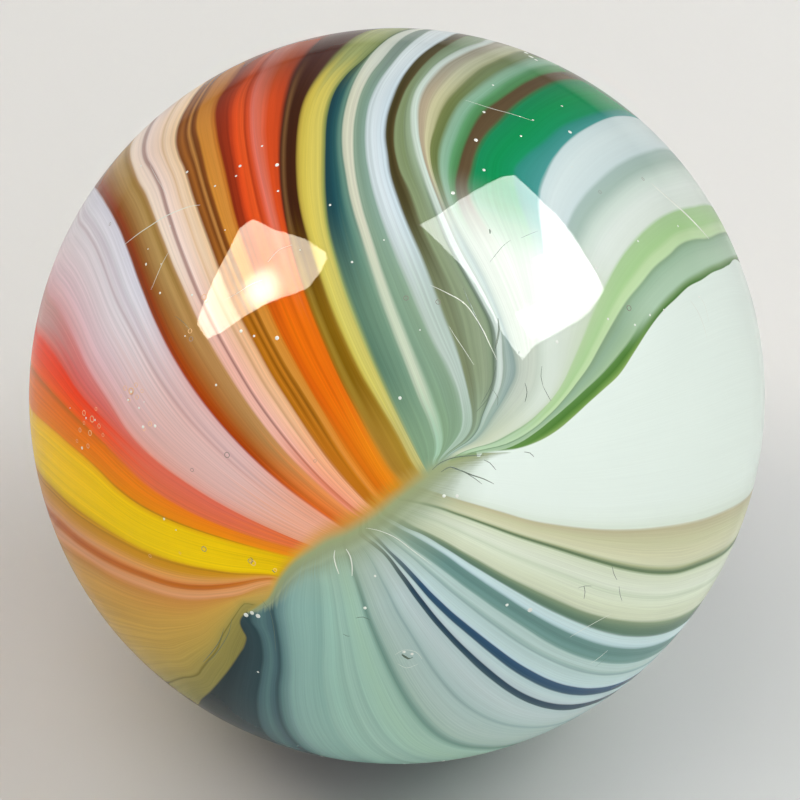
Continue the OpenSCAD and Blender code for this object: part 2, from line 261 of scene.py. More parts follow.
# Colours along the upper ribbon scale, well away from the seam
UPPER_RIBBONS: Stops = (
    (44.0, "#565030"), (55.0, "#7a7440"), (60.0, "#8f8748"), (62.2, "#9a8f4c"), (62.5, "#6e6224"),
    (62.8, "#a3944c"), (64.0, "#b09a4e"), (68.0, "#c3a24e"), (72.0, "#cda34b"), (76.0, "#cf9e48"),
    (78.4, "#cf9a4c"), (79.2, "#c5863a"), (79.9, "#cf8c4e"), (80.3, "#dd9c6c"), (81.2, "#dc9a68"),
    (81.6, "#bf6c2c"), (82.2, "#b55c1e"), (82.9, "#c4743a"), (83.3, "#db9c6e"), (84.2, "#d69850"),
    (85.2, "#cd9030"), (86.1, "#cc8e1e"), (86.35, "#a4700f"), (86.55, "#cf9618"), (86.9, "#b98214"),
    (87.3, "#e2b200"), (88.0, "#f2c800"), (91.0, "#fccc00"), (92.6, "#f4c200"), (93.2, "#fccc04"),
    (94.4, "#f4bc00"), (94.9, "#efac00"),
    (95.15, "#ee8200"), (96.5, "#ea7600"), (98.0, "#e46c00"), (98.6, "#bc5e04"), (98.9, "#ec6004"),
    (99.2, "#f45a08"), (100.4, "#f24408"), (101.9, "#ec3c12"), (102.3, "#df6050"), (103.6, "#d66a66"),
    (105.0, "#d77c7a"), (105.5, "#dca4a6"), (108.0, "#debec4"), (111.0, "#e0d0d4"), (113.4, "#dfd8dc"),
    (113.8, "#cabac0"), (114.2, "#dfd8dd"), (115.0, "#cfc6ce"), (115.5, "#dfdce2"), (117.45, "#d8d6e0"),
    (117.75, "#86442a"), (118.4, "#8e3d1b"), (119.3, "#95602d"), (120.5, "#a7814b"), (121.4, "#b49258"),
    (122.1, "#9c793d"), (122.55, "#b08a58"),
    (122.85, "#f4e0cc"), (123.8, "#f2dccc"), (124.05, "#b3958c"), (124.3, "#b09088"), (124.55, "#f0d8cc"),
    (126.0, "#f2d6be"), (126.3, "#dcba96"), (126.7, "#f4d8ba"), (127.7, "#eecda4"), (128.1, "#7c441a"),
    (128.6, "#a26226"), (129.0, "#7a431a"), (129.35, "#c28744"), (129.65, "#6f3d15"), (130.0, "#86481a"),
    (130.25, "#cd8834"), (131.4, "#cf8a3a"), (131.85, "#c27326"), (132.1, "#8c2d11"), (132.9, "#9c3214"),
    (133.2, "#c64019"), (133.6, "#e14f1e"), (134.7, "#e65823"), (135.0, "#b83d19"), (135.4, "#e0542a"),
    (136.1, "#df7664"), (136.6, "#db6a4e"),
    (137.0, "#de5020"), (137.6, "#cb481d"), (137.85, "#4c2618"), (138.2, "#75522f"), (138.6, "#40200f"),
    (139.65, "#43220f"), (139.95, "#b8a040"), (140.4, "#d5c152"), (141.5, "#dbca60"), (142.4, "#cfc363"),
    (142.8, "#869350"), (143.1, "#1d4148"), (144.0, "#204c54"), (144.8, "#315f5f"), (145.3, "#5b8578"),
    (145.85, "#6a8c7c"), (146.1, "#d0d2ba"), (146.9, "#d8d8c2"), (147.2, "#90a792"), (148.0, "#7f9c89"),
    (148.8, "#86a294"), (149.15, "#c9d7d8"), (150.3, "#d5e1e5"), (151.6, "#c9dae1"), (152.0, "#4c4527"),
    (152.5, "#443a1e"), (153.0, "#54492a"), (153.3, "#88986f"), (154.0, "#7c8d64"),
    (154.8, "#9aae92"), (155.1, "#cad9ca"), (155.7, "#cedfd3"), (156.1, "#b4a58b"), (156.8, "#bbad90"),
    (157.4, "#cdc9a0"), (158.3, "#c1c094"), (158.8, "#76804c"), (159.5, "#6d7c49"), (159.9, "#8fb599"),
    (160.4, "#8ab79a"), (160.8, "#5f9c6a"), (161.35, "#4e8953"), (161.65, "#5e4c34"), (162.8, "#64533a"),
    (163.1, "#3b7a4b"), (163.6, "#198b58"), (166.0, "#109254"), (168.5, "#189460"), (169.1, "#328f80"),
    (170.8, "#4a9a95"), (171.1, "#cddfdf"), (173.0, "#d7e6e5"), (176.4, "#cfdfdf"), (177.0, "#a9c0b9"),
    (178.4, "#a8bfb4"), (180.0, "#cfdfd4"), (182.0, "#dfe9e1"),
    (184.7, "#dce6dc"), (185.2, "#aacb98"), (188.0, "#a8cf92"), (189.0, "#bfdba9"), (190.2, "#c2deae"),
    (190.6, "#8aa888"), (191.4, "#9cbb9f"), (193.4, "#acc8ae"), (195.4, "#b0ccb2"), (196.2, "#7c9e6c"),
    (196.8, "#4f7a3c"), (198.0, "#4a7238"),
)

# The same scale nearer the seam, where the reds turn orange and the dark ribbons olive
UPPER_MIDDLE: Stops = (
    (44.0, "#5e5834"), (60.0, "#8f8748"), (62.3, "#9a8f4c"), (62.55, "#6e6224"), (62.9, "#a3944c"),
    (66.0, "#b89e4c"), (74.0, "#cda24a"), (79.2, "#cb8e42"), (79.9, "#cf8c4e"), (80.4, "#e0a272"),
    (81.4, "#dd9c60"), (81.8, "#c06a20"), (82.4, "#bd651c"), (82.9, "#dc9450"), (83.4, "#e0a05a"),
    (85.0, "#cf9422"), (86.1, "#c98c12"), (86.35, "#a8750c"), (86.6, "#cf9818"), (87.3, "#e6be08"),
    (88.0, "#f0cc04"), (94.0, "#eec600"), (94.8, "#e4ac00"), (95.05, "#a86a04"), (95.3, "#ec8c08"),
    (98.4, "#ea7c10"), (98.9, "#df6c44"), (101.8, "#dc6a52"), (104.4, "#dc6650"), (105.2, "#dd8068"),
    (105.7, "#dfa294"), (108.0, "#dcb0a8"),
    (112.0, "#ddb8b2"), (113.6, "#ddb6b0"), (113.9, "#c69c98"), (114.3, "#ddb9b4"), (115.1, "#cfaaa8"),
    (115.6, "#ddbab6"), (117.4, "#dab0ac"), (117.8, "#a03a0c"), (118.6, "#a84a10"), (119.6, "#a8662c"),
    (121.4, "#b0824c"), (122.5, "#b88a54"), (122.9, "#eab4a2"), (123.8, "#ecb6a6"), (124.1, "#a27068"),
    (124.5, "#eeb8a6"), (126.0, "#eebd9c"), (126.4, "#d09e74"), (126.8, "#ecba90"), (127.7, "#e6b486"),
    (128.1, "#a8640e"), (128.6, "#c2781a"), (129.0, "#8c5208"), (129.4, "#c87e20"), (129.7, "#8e5610"),
    (130.0, "#a86816"), (130.3, "#d28e38"), (131.5, "#cf8630"), (131.9, "#cc7018"), (132.1, "#d25e0c"),
    (133.0, "#da620a"), (133.3, "#e26c0a"), (134.8, "#e86e0a"), (135.1, "#d45e08"), (135.5, "#e8700c"),
    (137.5, "#e06c10"), (137.9, "#8a6210"), (138.3, "#a2842e"), (138.7, "#7c5a0a"), (139.6, "#8c6614"),
    (139.95, "#c8b850"), (140.6, "#d2c866"), (142.3, "#c9c068"), (142.8, "#94a468"), (143.1, "#587a66"),
    (145.6, "#74967e"), (146.05, "#c6d2ba"), (146.9, "#cad6be"), (147.2, "#7f9e86"), (148.7, "#86a288"),
    (149.2, "#b9c9bf"), (151.6, "#b3c5bc"), (152.0, "#7e8a68"), (153.2, "#86947a"), (160.0, "#94a488"),
    (170.0, "#b4c2b0"), (177.0, "#c4d2c2"), (184.6, "#bccfb0"), (185.2, "#a8c894"), (190.2, "#b4d29e"),
    (190.6, "#7c9c72"), (194.0, "#84a67c"), (196.0, "#5c8640"), (198.0, "#4a7238"),
)

# The same scale towards the far fold, with painted shade: the ribbons darker and greyer at the rim
UPPER_RIM_SHADE: Stops = (
    (127.7, "#e8cfaa"), (128.1, "#6f3d18"), (129.0, "#70401c"), (129.35, "#b87a38"), (129.65, "#6a3a16"),
    (130.25, "#b8742c"), (131.4, "#b8742c"), (132.1, "#7a2c12"), (133.2, "#a03c18"), (133.6, "#b84a20"),
    (134.7, "#b04420"), (135.0, "#983618"), (136.1, "#b86858"), (136.6, "#b05c48"), (137.0, "#a84820"),
    (137.6, "#9a4224"), (137.85, "#4c2a22"), (138.6, "#4a241c"), (139.65, "#53332a"), (139.95, "#7f8450"),
    (140.4, "#9da565"), (141.5, "#a0aa6c"), (142.4, "#92a066"), (142.8, "#7f8f58"), (143.1, "#55663e"),
    (144.0, "#5e704a"), (144.8, "#6f8464"), (145.3, "#8a9c80"), (145.85, "#9cae94"), (146.1, "#d4dacb"),
    (146.9, "#d8dfd2"), (147.2, "#8a9c8e"), (148.0, "#81948a"), (148.8, "#869a8e"), (149.15, "#dbe7e7"),
    (150.3, "#e0ebed"), (151.6, "#d8e6ea"), (152.0, "#4c4527"), (153.0, "#5a5030"), (153.3, "#7f9270"),
    (154.8, "#8ea387"), (155.1, "#c4d2c8"), (155.7, "#cedbd3"), (156.1, "#a39f8c"), (156.8, "#a8a490"),
    (157.4, "#c0c2a4"), (158.3, "#b6ba98"), (158.8, "#7d8a64"), (160.0, "#8fae92"),
)

# The same scale close above the seam, where the ribbons turn warm and olive
UPPER_NEAR_SEAM: Stops = (
    (60.0, "#8a8550"), (70.0, "#b8a058"), (79.0, "#c99a50"), (81.0, "#e0a060"), (82.2, "#c6762a"),
    (84.0, "#dc9c50"), (86.4, "#cf9718"), (87.5, "#e6c400"), (94.5, "#dfb400"), (95.5, "#e68a10"),
    (98.5, "#df7e20"), (99.5, "#e0723c"), (104.8, "#da6a34"), (105.6, "#e4a182"), (112.0, "#e6a88e"),
    (117.3, "#e4a184"), (117.9, "#d5621c"), (120.0, "#dc7a38"), (122.4, "#e08e50"), (123.0, "#f09678"),
    (124.1, "#cb6f50"), (124.6, "#eea080"), (127.8, "#ecaa80"), (128.2, "#b46a18"), (130.0, "#c67618"),
    (130.4, "#dd8e3a"),
    (132.0, "#da8224"), (132.4, "#d56e10"), (136.0, "#e88614"), (137.6, "#dd8820"), (138.0, "#a57a2c"),
    (139.6, "#a2822c"), (140.1, "#beb268"), (142.6, "#c0be7c"), (143.1, "#7c9c7c"), (145.8, "#86a688"),
    (146.2, "#a3c7ad"), (147.0, "#a0c3a7"), (147.3, "#86a584"), (149.0, "#8aa98c"), (149.3, "#a6bfac"),
    (151.8, "#a6bfac"), (152.2, "#7d917a"), (153.4, "#94ab92"), (154.6, "#86a08c"), (154.9, "#5c7668"),
    (155.2, "#a9c0b2"), (157.0, "#9db6a6"), (159.0, "#93aa9c"), (160.5, "#adbfad"), (163.0, "#bac8b0"),
    (169.0, "#c5cfb6"), (177.0, "#ccd5bf"), (183.0, "#c8d3ba"), (184.8, "#a6bd9c"), (185.3, "#8aab88"),
    (186.5, "#b1cdab"), (189.8, "#b9d4b1"), (190.5, "#6c8e69"), (191.6, "#9dba99"), (194.7, "#a6c29e"),
    (195.2, "#5d8745"), (196.2, "#649048"), (197.4, "#a9be7a"),
)

# The same scale in the pale fold, between the green ribbon's tip and the seam
UPPER_FOLD: Stops = (
    (150.0, "#cfdcdf"), (151.6, "#c9dae1"), (152.0, "#6c6f4c"), (152.6, "#5f6442"), (153.2, "#8a9a76"),
    (154.2, "#95a588"), (154.6, "#83967a"), (154.85, "#546858"), (155.1, "#c6d6cc"), (155.7, "#ccd9d2"),
    (156.1, "#96a79a"), (157.2, "#a1b5ae"), (158.2, "#93a8a3"), (158.8, "#8da29b"), (159.6, "#aebcb0"),
    (160.6, "#bdc8bb"), (162.6, "#c5cfc1"), (164.0, "#c9d3c5"), (166.0, "#c2cec0"), (169.0, "#ccd8cb"),
    (171.0, "#d4dfd3"), (177.0, "#d3ded2"), (181.0, "#cfdacb"), (184.6, "#c8d6bf"), (185.2, "#b2ce9f"),
    (188.0, "#a9cd95"), (189.0, "#bcd8a6"), (190.2, "#bfdaab"), (190.6, "#86a181"), (192.0, "#90ae93"),
    (194.7, "#a3c09c"), (195.2, "#5d8748"), (196.0, "#4f7c36"), (196.5, "#6a9248"), (197.2, "#93b066"),
    (198.0, "#a4bc78"),
)

# Colours along the lower ribbon scale
LOWER_RIBBONS: Stops = (
    (-170.0, "#e4f0e8"), (-95.0, "#e2eee6"), (-90.0, "#dfebe1"), (-86.9, "#d7e3d5"), (-86.3, "#b9b290"),
    (-85.5, "#bdb996"), (-83.0, "#c6c8a2"), (-80.0, "#cfd0ae"), (-78.0, "#d1d4b5"), (-77.1, "#aeb68d"),
    (-76.7, "#6e8363"), (-75.9, "#647a58"), (-75.5, "#a8ba97"), (-75.0, "#d1dbc1"), (-72.0, "#d6dfca"),
    (-70.0, "#dae3d0"), (-68.3, "#c9d6bd"), (-67.0, "#d8e2cb"), (-64.0, "#d2dbc0"), (-61.0, "#cbd3b9"),
    (-60.4, "#869a7a"), (-59.0, "#66806a"), (-57.4, "#567563"),
    (-57.0, "#bdd6d6"), (-55.0, "#c6dddf"), (-53.7, "#b4d0d6"), (-53.3, "#6b8f89"), (-51.0, "#5f8480"),
    (-50.0, "#6f9690"), (-49.0, "#6b908a"), (-48.2, "#7da09a"), (-47.8, "#aec8c4"), (-46.0, "#b4ccc8"),
    (-45.3, "#9cb8b4"), (-44.6, "#8fa9a8"), (-44.2, "#b0cac9"), (-41.0, "#bcd4d4"), (-40.1, "#b6ced6"),
    (-39.75, "#345470"), (-38.6, "#2a4b68"), (-37.7, "#385868"), (-37.35, "#afc8cb"), (-35.5, "#bdd2d3"),
    (-34.1, "#b3c5cb"), (-33.8, "#2a4254"), (-33.0, "#30485a"), (-32.4, "#3f5a60"), (-32.15, "#aec3c4"),
    (-29.0, "#b7c9c9"),
    (-25.0, "#adc3c1"), (-24.0, "#9fb7b5"), (-23.5, "#8ea7a5"), (-22.7, "#a4bcb8"), (-19.0, "#a9bfb9"),
    (-15.6, "#9eb7ad"), (-14.5, "#7f9f94"), (-13.7, "#6d8f84"), (-12.9, "#86aa9c"), (-12.0, "#9bbeaf"),
    (-9.0, "#9ec2ae"), (-6.0, "#9cc1b1"), (-5.4, "#92b6a9"), (-3.0, "#9dc1b3"), (-2.3, "#8fb3a6"),
    (0.0, "#9ac2b4"), (2.2, "#93b9ad"), (3.0, "#88aea4"), (6.0, "#8db4ab"), (9.0, "#84a9a3"),
    (11.3, "#587a7c"), (12.0, "#385358"), (12.7, "#46646a"), (14.0, "#557679"), (15.6, "#466468"),
    (16.2, "#2c444a"), (18.0, "#30464c"), (20.0, "#2c3f44"), (22.0, "#24353a"), (30.0, "#223034"),
)

# Colours under the seam, from the seam's own edge (0) to where the tint ends (1)
SEAM_TINT: Stops = (
    (0.0, "#9ba06c"), (0.12, "#95a074"), (0.30, "#8f9b76"), (0.45, "#98a584"), (0.55, "#8d9b7c"),
    (0.75, "#90a288"), (1.0, "#9fb29c"),
)

# Tone that the lower ribbons take where they meet
JUNCTION_SHADE = "#98a688"
# Painted shade: the greyer tone that the rose ribbon fades to at the rim
ROSE_RIM_SHADE = "#c89490"

# Colours just above the seam, on the upper ribbon scale
SEAM_EDGE: Stops = (
    (60.0, "#a8984c"), (80.0, "#c8a04c"), (87.0, "#c8a020"), (95.0, "#d2a028"), (105.0, "#d69a4c"),
    (118.0, "#c88c3c"), (128.0, "#c8943c"), (137.0, "#bf8c28"), (140.0, "#b0a05c"), (143.0, "#8fa480"),
    (150.0, "#8da687"), (165.0, "#96aa8e"), (180.0, "#86a070"), (197.0, "#5c8040"),
)

# The seam above: (way along the upper fan, angle), from the far fold to its left stretch
SEAM_RIGHT: Guide = (
    (1.0, 198.3), (0.80, 198.3), (0.60, 198.3), (0.53, 198.0), (0.50, 197.6), (0.467, 196.7),
    (0.436, 196.0), (0.405, 194.8), (0.375, 194.1), (0.344, 193.2), (0.314, 192.7), (0.283, 192.4),
    (0.251, 191.8), (0.226, 190.0), (0.205, 188.0), (0.182, 185.4), (0.163, 182.4), (0.146, 178.0),
    (0.132, 171.6), (0.124, 163.5), (0.118, 155.0), (0.114, 148.0), (0.108, 140.0), (0.104, 130.0),
    (0.103, 120.0), (0.109, 110.0), (0.116, 105.0), (0.122, 100.0), (0.130, 94.5), (0.138, 88.7),
    (0.147, 82.4), (0.154, 80.1), (0.161, 78.4), (0.167, 77.3), (0.172, 75.9), (0.175, 74.4),
    (0.176, 72.4),
)
# Its left stretch: (way along the lower fan, angle), round the back to the far fold
SEAM_LEFT: Guide = (
    (0.186, 21.1), (0.198, 20.8), (0.207, 21.1), (0.237, 22.2), (0.281, 24.3), (0.331, 26.7),
    (0.40, 28.5), (0.50, 29.0), (0.70, 28.0), (0.85, 27.5), (1.0, 27.0),
)
# A tint narrower than this isn't drawn, in millimetres
TINT_LEAST = 0.06
# At knots of the seam, by their numbers: the tint's width under and above it, and how
# softly it crosses, in millimetres
TINT_STATIONS: tuple[tuple[float, float, float, float], ...] = (
    (0.0, 0.05, 0.03, 0.014), (16.0, 0.05, 0.03, 0.014), (18.0, 0.05, 0.03, 0.02), (19.0, 0.16, 0.03, 0.03),
    (20.0, 0.45, 0.12, 0.06), (21.0, 0.80, 0.24, 0.12), (22.0, 0.90, 0.36, 0.14), (25.0, 0.95, 0.42, 0.16),
    (27.0, 0.80, 0.34, 0.12), (28.0, 0.55, 0.24, 0.08), (30.0, 0.25, 0.12, 0.04), (32.0, 0.12, 0.08, 0.03),
    (33.0, 0.05, 0.03, 0.03), (60.0, 0.05, 0.03, 0.03),
)

# Corners of the two glints and of the second one's bright middle, in pixels
LEFT_GLINT = (
    (253, 219), (275, 230), (305, 239), (325, 252), (327, 259), (320, 273), (308, 288), (296, 293),
    (270, 302), (245, 316), (222, 332), (207, 339), (197, 325), (201, 310), (216, 275), (228, 252),
    (240, 228),
)
RIGHT_GLINT = (
    (420, 225), (437, 216), (471, 193), (502, 177), (514, 175), (535, 194), (542, 202), (558, 216),
    (573, 236), (587, 258), (601, 282), (604, 291), (595, 304), (585, 317), (567, 327), (535, 345),
    (522, 360), (512, 346), (500, 330), (490, 310), (465, 270), (436, 240),
)
RIGHT_CORE = (
    (488, 264), (541, 226), (542, 206), (557, 217), (572, 237), (586, 259), (601, 284), (592, 303),
    (580, 315), (562, 326), (530, 338), (514, 312), (500, 286),
)

# Bubbles that show as a ring: place in the picture and width, in pixels
BUBBLES = (
    (204, 549, 6), (227, 455, 6), (191, 339, 5), (629, 308, 6), (406, 298, 5), (438, 302, 5),
    (250, 561, 5), (192, 470, 4), (110, 224, 4), (315, 461, 3), (643, 179, 4), (600, 192, 4),
)
# Bubbles in the bright colours on the left, whose rims take those colours
WARM_BUBBLES = (
    (84, 413, 6), (92, 419, 7), (80, 430, 5), (90, 433, 6), (99, 426, 5), (88, 446, 5), (77, 441, 4),
    (103, 435, 4), (96, 409, 4), (84, 423, 4), (131, 391, 7), (137, 397, 5), (125, 388, 5), (136, 385, 5),
    (129, 400, 4), (142, 391, 4), (121, 396, 3), (150, 556, 4), (253, 563, 6), (275, 570, 4), (180, 553, 3),
    (150, 424, 5), (144, 429, 4), (190, 331, 5), (204, 297, 6), (206, 301, 4),
)
# Bubbles so small that only a bright speck shows: painted highlight, pale dots for the light they catch
SPECK_GLINTS = (
    (493, 85, 3), (484, 112, 4), (476, 140, 5), (484, 170, 4), (453, 193, 5), (521, 136, 3),
    (570, 132, 5), (533, 120, 3), (562, 106, 3), (572, 167, 2), (678, 226, 3), (638, 241, 3),
    (650, 315, 3), (664, 310, 3), (635, 325, 3), (608, 319, 3), (557, 342, 4), (400, 398, 4),
    (699, 297, 3), (240, 166, 4), (277, 165, 5), (278, 191, 3), (187, 172, 4), (141, 166, 3),
    (146, 264, 3), (161, 264, 2), (192, 295, 3), (241, 331, 4), (277, 338, 5), (254, 336, 3),
    (216, 385, 3), (131, 392, 3), (128, 400, 3), (144, 402, 2), (155, 426, 4), (143, 427, 4),
    (139, 408, 3), (86, 418, 3), (95, 420, 3), (82, 448, 4), (70, 408, 2), (123, 258, 2), (146, 265, 2),
    (148, 249, 2), (160, 293, 3), (185, 336, 2), (207, 300, 2), (170, 226, 2), (215, 186, 3),
    (236, 176, 3), (225, 230, 2), (262, 146, 3), (176, 530, 2), (164, 519, 3), (375, 576, 3),
    (365, 608, 4), (258, 672, 3), (444, 496, 4), (457, 496, 4), (530, 610, 6), (507, 605, 4),
    (246, 615, 6), (258, 616, 6), (252, 613, 5), (404, 652, 4), (412, 654, 4), (526, 53, 6),
    (531, 57, 7), (536, 60, 5), (384, 240, 2), (330, 205, 3), (352, 262, 3), (300, 250, 2),
    (420, 330, 2), (455, 250, 3), (610, 233, 2), (596, 268, 3),
)
# Pale scratches: corners in pixels, width in pixels
SCRATCHES = (
    (((123, 246), (138, 234), (150, 226), (166, 216), (188, 207), (200, 205)), 2.2),
    (((151, 290), (156, 278), (163, 262), (170, 250)), 1.2),
    (((651, 183), (668, 198), (690, 218), (709, 239)), 4.0),
    (((465, 100), (490, 108), (512, 114), (533, 121)), 1.0),
    (((430, 285), (445, 292), (465, 304), (480, 325), (490, 345), (497, 360)), 2.4),
    (((449, 326), (455, 336), (463, 348), (474, 365)), 1.2),
    (((570, 637), (582, 630), (596, 622), (611, 614)), 1.6),
    (((590, 664), (600, 657), (608, 650)), 1.4),
    (((335, 550), (334, 557), (336, 566), (339, 574)), 2.6),
    (((346, 549), (350, 556), (352, 566), (352, 576)), 2.2),
    (((366, 528), (380, 531), (396, 538), (412, 550), (432, 565)), 1.2),
    (((150, 165), (159, 182), (168, 196)), 0.9),
    (((224, 300), (236, 294), (250, 285), (262, 280)), 0.9),
    (((268, 262), (279, 250), (292, 245)), 0.9),
    (((690, 300), (700, 316), (707, 338)), 1.2),
    (((700, 296), (705, 306), (709, 322)), 0.9),
    (((395, 655), (404, 650), (416, 652), (422, 659)), 1.2),
    (((398, 664), (407, 668), (418, 664)), 1.0),
)
# Dark fold lines and nicks, in the same form
FOLDS = (
    (((432, 470), (440, 463), (452, 458), (465, 456), (484, 455)), 1.6),
    (((441, 472), (450, 467), (460, 470), (472, 475), (484, 479), (494, 484)), 2.0),
    (((452, 468), (464, 472), (474, 478), (482, 484)), 1.2),
    (((484, 460), (490, 463), (496, 470)), 1.2),
    (((524, 452), (530, 453), (534, 457)), 1.2),
    (((498, 318), (499, 330), (497, 342), (494, 352)), 3.4),
    (((490, 262), (497, 253), (504, 245), (511, 240)), 1.3),
    (((521, 238), (530, 234), (538, 231)), 1.3),
    (((574, 249), (575, 252), (574, 256)), 1.5),
    (((552, 299), (552, 302), (551, 305)), 1.3),
    (((489, 229), (490, 231), (490, 234)), 2.8),
    (((519, 351), (519, 354)), 2.0),
    (((463, 288), (470, 304), (478, 322), (486, 338)), 1.8),
    (((481, 404), (488, 392), (493, 380), (496, 366)), 1.6),
    (((476, 412), (486, 401), (494, 388)), 1.0),
    (((525, 383), (527, 392), (525, 402)), 1.4),
    (((542, 366), (541, 376), (543, 386)), 1.6),
    (((543, 386), (547, 394), (551, 401)), 1.2),
    (((493, 390), (498, 398), (497, 406)), 1.0),
    (((584, 586), (585, 592), (584, 599)), 1.4),
    (((578, 588), (585, 586), (592, 586)), 1.2),
    (((619, 586), (620, 594), (622, 601)), 1.3),
    (((612, 566), (614, 574), (617, 580)), 1.0),
    (((402, 655), (408, 659), (413, 657)), 2.4),
    (((356, 618), (363, 617), (370, 620)), 1.6),
    (((343, 634), (347, 636), (350, 636)), 1.6),
    (((250, 557), (253, 560), (251, 564)), 1.6),
    (((272, 570), (275, 573)), 2.0),
    (((224, 628), (220, 640), (212, 652), (203, 662)), 1.8),
    (((232, 618), (229, 632), (222, 645), (214, 656), (205, 664)), 1.6),
    (((607, 617), (598, 623), (589, 629)), 0.9),
    (((610, 655), (603, 661), (595, 667)), 0.9),
    (((175, 316), (183, 322), (190, 330)), 0.9),
    (((262, 600), (270, 612), (274, 630), (276, 652)), 1.2),
)


def srgb(code: str) -> tuple[float, float, float, float]:
    """Turns a hex colour into linear light.

    Args:
        code: Colour such as "#a0b0c0".

    Returns:
        Linear red, green, blue and alpha.
    """
    parts = [int(code[i:i + 2], 16) / 255 for i in (1, 3, 5)]
    red, green, blue = [p / 12.92 if p <= 0.04045 else ((p + 0.055) / 1.055) ** 2.4 for p in parts]
    return red, green, blue, 1.0


def plain(vector: np.ndarray) -> tuple[float, ...]:
    """Turns a vector into a plain tuple."""
    return tuple(float(value) for value in vector)


def towards(place: Pair) -> np.ndarray:
    """Gives the unit vector to a place on the ball.

    Args:
        place: Azimuth and elevation in degrees.

    Returns:
        The unit vector.
    """
    azimuth, elevation = math.radians(place[0]), math.radians(place[1])
    flat = math.cos(elevation)
    return np.array([flat * math.cos(azimuth), flat * math.sin(azimuth), math.sin(elevation)])


def camera_place() -> np.ndarray:
    """Gives the camera's place in metres."""
    lift = math.radians(CAMERA_ELEVATION)
    return BALL_RADIUS * CAMERA_RADII * np.array([0.0, -math.cos(lift), math.sin(lift)])


def seen_at(pixel: Pair) -> tuple[np.ndarray, np.ndarray]:
    """Finds which place on the ball the camera sees at a pixel.

    Args:
        pixel: Place in the picture.

    Returns:
        Unit vector to the place, and the direction the camera looks in there.
    """
    eye = camera_place() / BALL_RADIUS
    back = eye / CAMERA_RADII
    right = np.array([1.0, 0.0, 0.0])
    up = np.cross(back, right)
    reach = math.tan(math.asin(1 / CAMERA_RADII)) / BALL_PIXELS
    ray = (pixel[0] - BALL_MIDDLE[0]) * reach * right - (pixel[1] - BALL_MIDDLE[1]) * reach * up - back
    ray /= np.linalg.norm(ray)
    half = float(eye @ ray)
    root = math.sqrt(max(0.0, half * half - CAMERA_RADII ** 2 + 1))
    hit = eye + ray * (-half - root)
    return hit / np.linalg.norm(hit), ray


def smooth_run(knots: list[np.ndarray], fewest: int) -> np.ndarray:
    """Draws a smooth run over the unit ball through knots.

    Args:
        knots: Unit vectors.
        fewest: Fewest pieces between two knots.

    Returns:
        Close unit vectors, one per row.
    """
    points = [knots[0]]
    for k in range(len(knots) - 1):
        before, start = knots[max(k - 1, 0)], knots[k]
        end, after = knots[k + 1], knots[min(k + 2, len(knots) - 1)]
        pieces = max(fewest, round(float(np.linalg.norm(end - start)) / RUN_STEP))
        for i in range(1, pieces + 1):
            s = i / pieces
            bend = 0.5 * (2 * start + (end - before) * s
                          + (2 * before - 5 * start + 4 * end - after) * s * s
                          + (3 * start - before - 3 * end + after) * s ** 3)
            points.append(bend / np.linalg.norm(bend))
    return np.array(points)


def write_values(mesh: bpy.types.Mesh, name: str, numbers: np.ndarray | list[float]) -> None:
    """Writes one number per point onto a mesh."""
    layer = mesh.attributes.new(name, "FLOAT", "POINT")
    layer.data.foreach_set("value", np.asarray(numbers, dtype=np.float32))


def added(name: str, data: bpy.types.ID) -> bpy.types.Object:
    """Adds an object to the scene."""
    made = bpy.data.objects.new(name, data)
    bpy.context.scene.collection.objects.link(made)
    return made


@dataclass(frozen=True)
class Fan:
    """Half planes about the line from a focus to the far fold; each meets the ball in one arc."""

    focus: Pair
    guides: Guides
    cut: float

    def axes(self) -> tuple[np.ndarray, np.ndarray, np.ndarray, np.ndarray, float]:
        """Gives the fan's x, y and z axes, the line's middle and half its length."""
        start, end = towards(self.focus), towards(FAR_FOLD)
        line = end - start
        length = float(np.linalg.norm(line))
        azimuth = math.atan2(line[1], line[0])
        elevation = math.asin(line[2] / length)
        x = np.array([math.sin(elevation) * math.cos(azimuth), math.sin(elevation) * math.sin(azimuth),
                      -math.cos(elevation)])
        y = np.array([-math.sin(azimuth), math.cos(azimuth), 0.0])
        return x, y, line / length, (start + end) / 2, length / 2

    def point(self, way: float, angle: float) -> np.ndarray:
        """Gives the unit vector at a way and angle of the fan.

        Args:
            way: From 0 at the focus to 1 at the far fold.
            angle: Degrees about the fan's line.

        Returns:
            The unit vector.
        """
        x, y, z, middle, half = self.axes()
        turn = math.radians(angle)
        out = math.cos(turn) * x + math.sin(turn) * y
        outward = float(middle @ out)
        side = np.cross(out, z)
        offset = float(middle @ side)
        radius = math.sqrt(max(0.0, 1.0 - offset * offset))
        first = math.atan2(-half, outward)
        last = math.atan2(half, outward)
        if first > 0:
            first -= 2 * math.pi
        if last < first:
            last += 2 * math.pi
        here = first + way * (last - first)
        return side * offset + radius * (math.cos(here) * out + math.sin(here) * z)


FANS = {
    Side.UPPER: Fan(UPPER_FOCUS, UPPER_GUIDES, cut=-60.0),
    Side.LOWER: Fan(LOWER_FOCUS, LOWER_GUIDES, cut=-240.0),
}


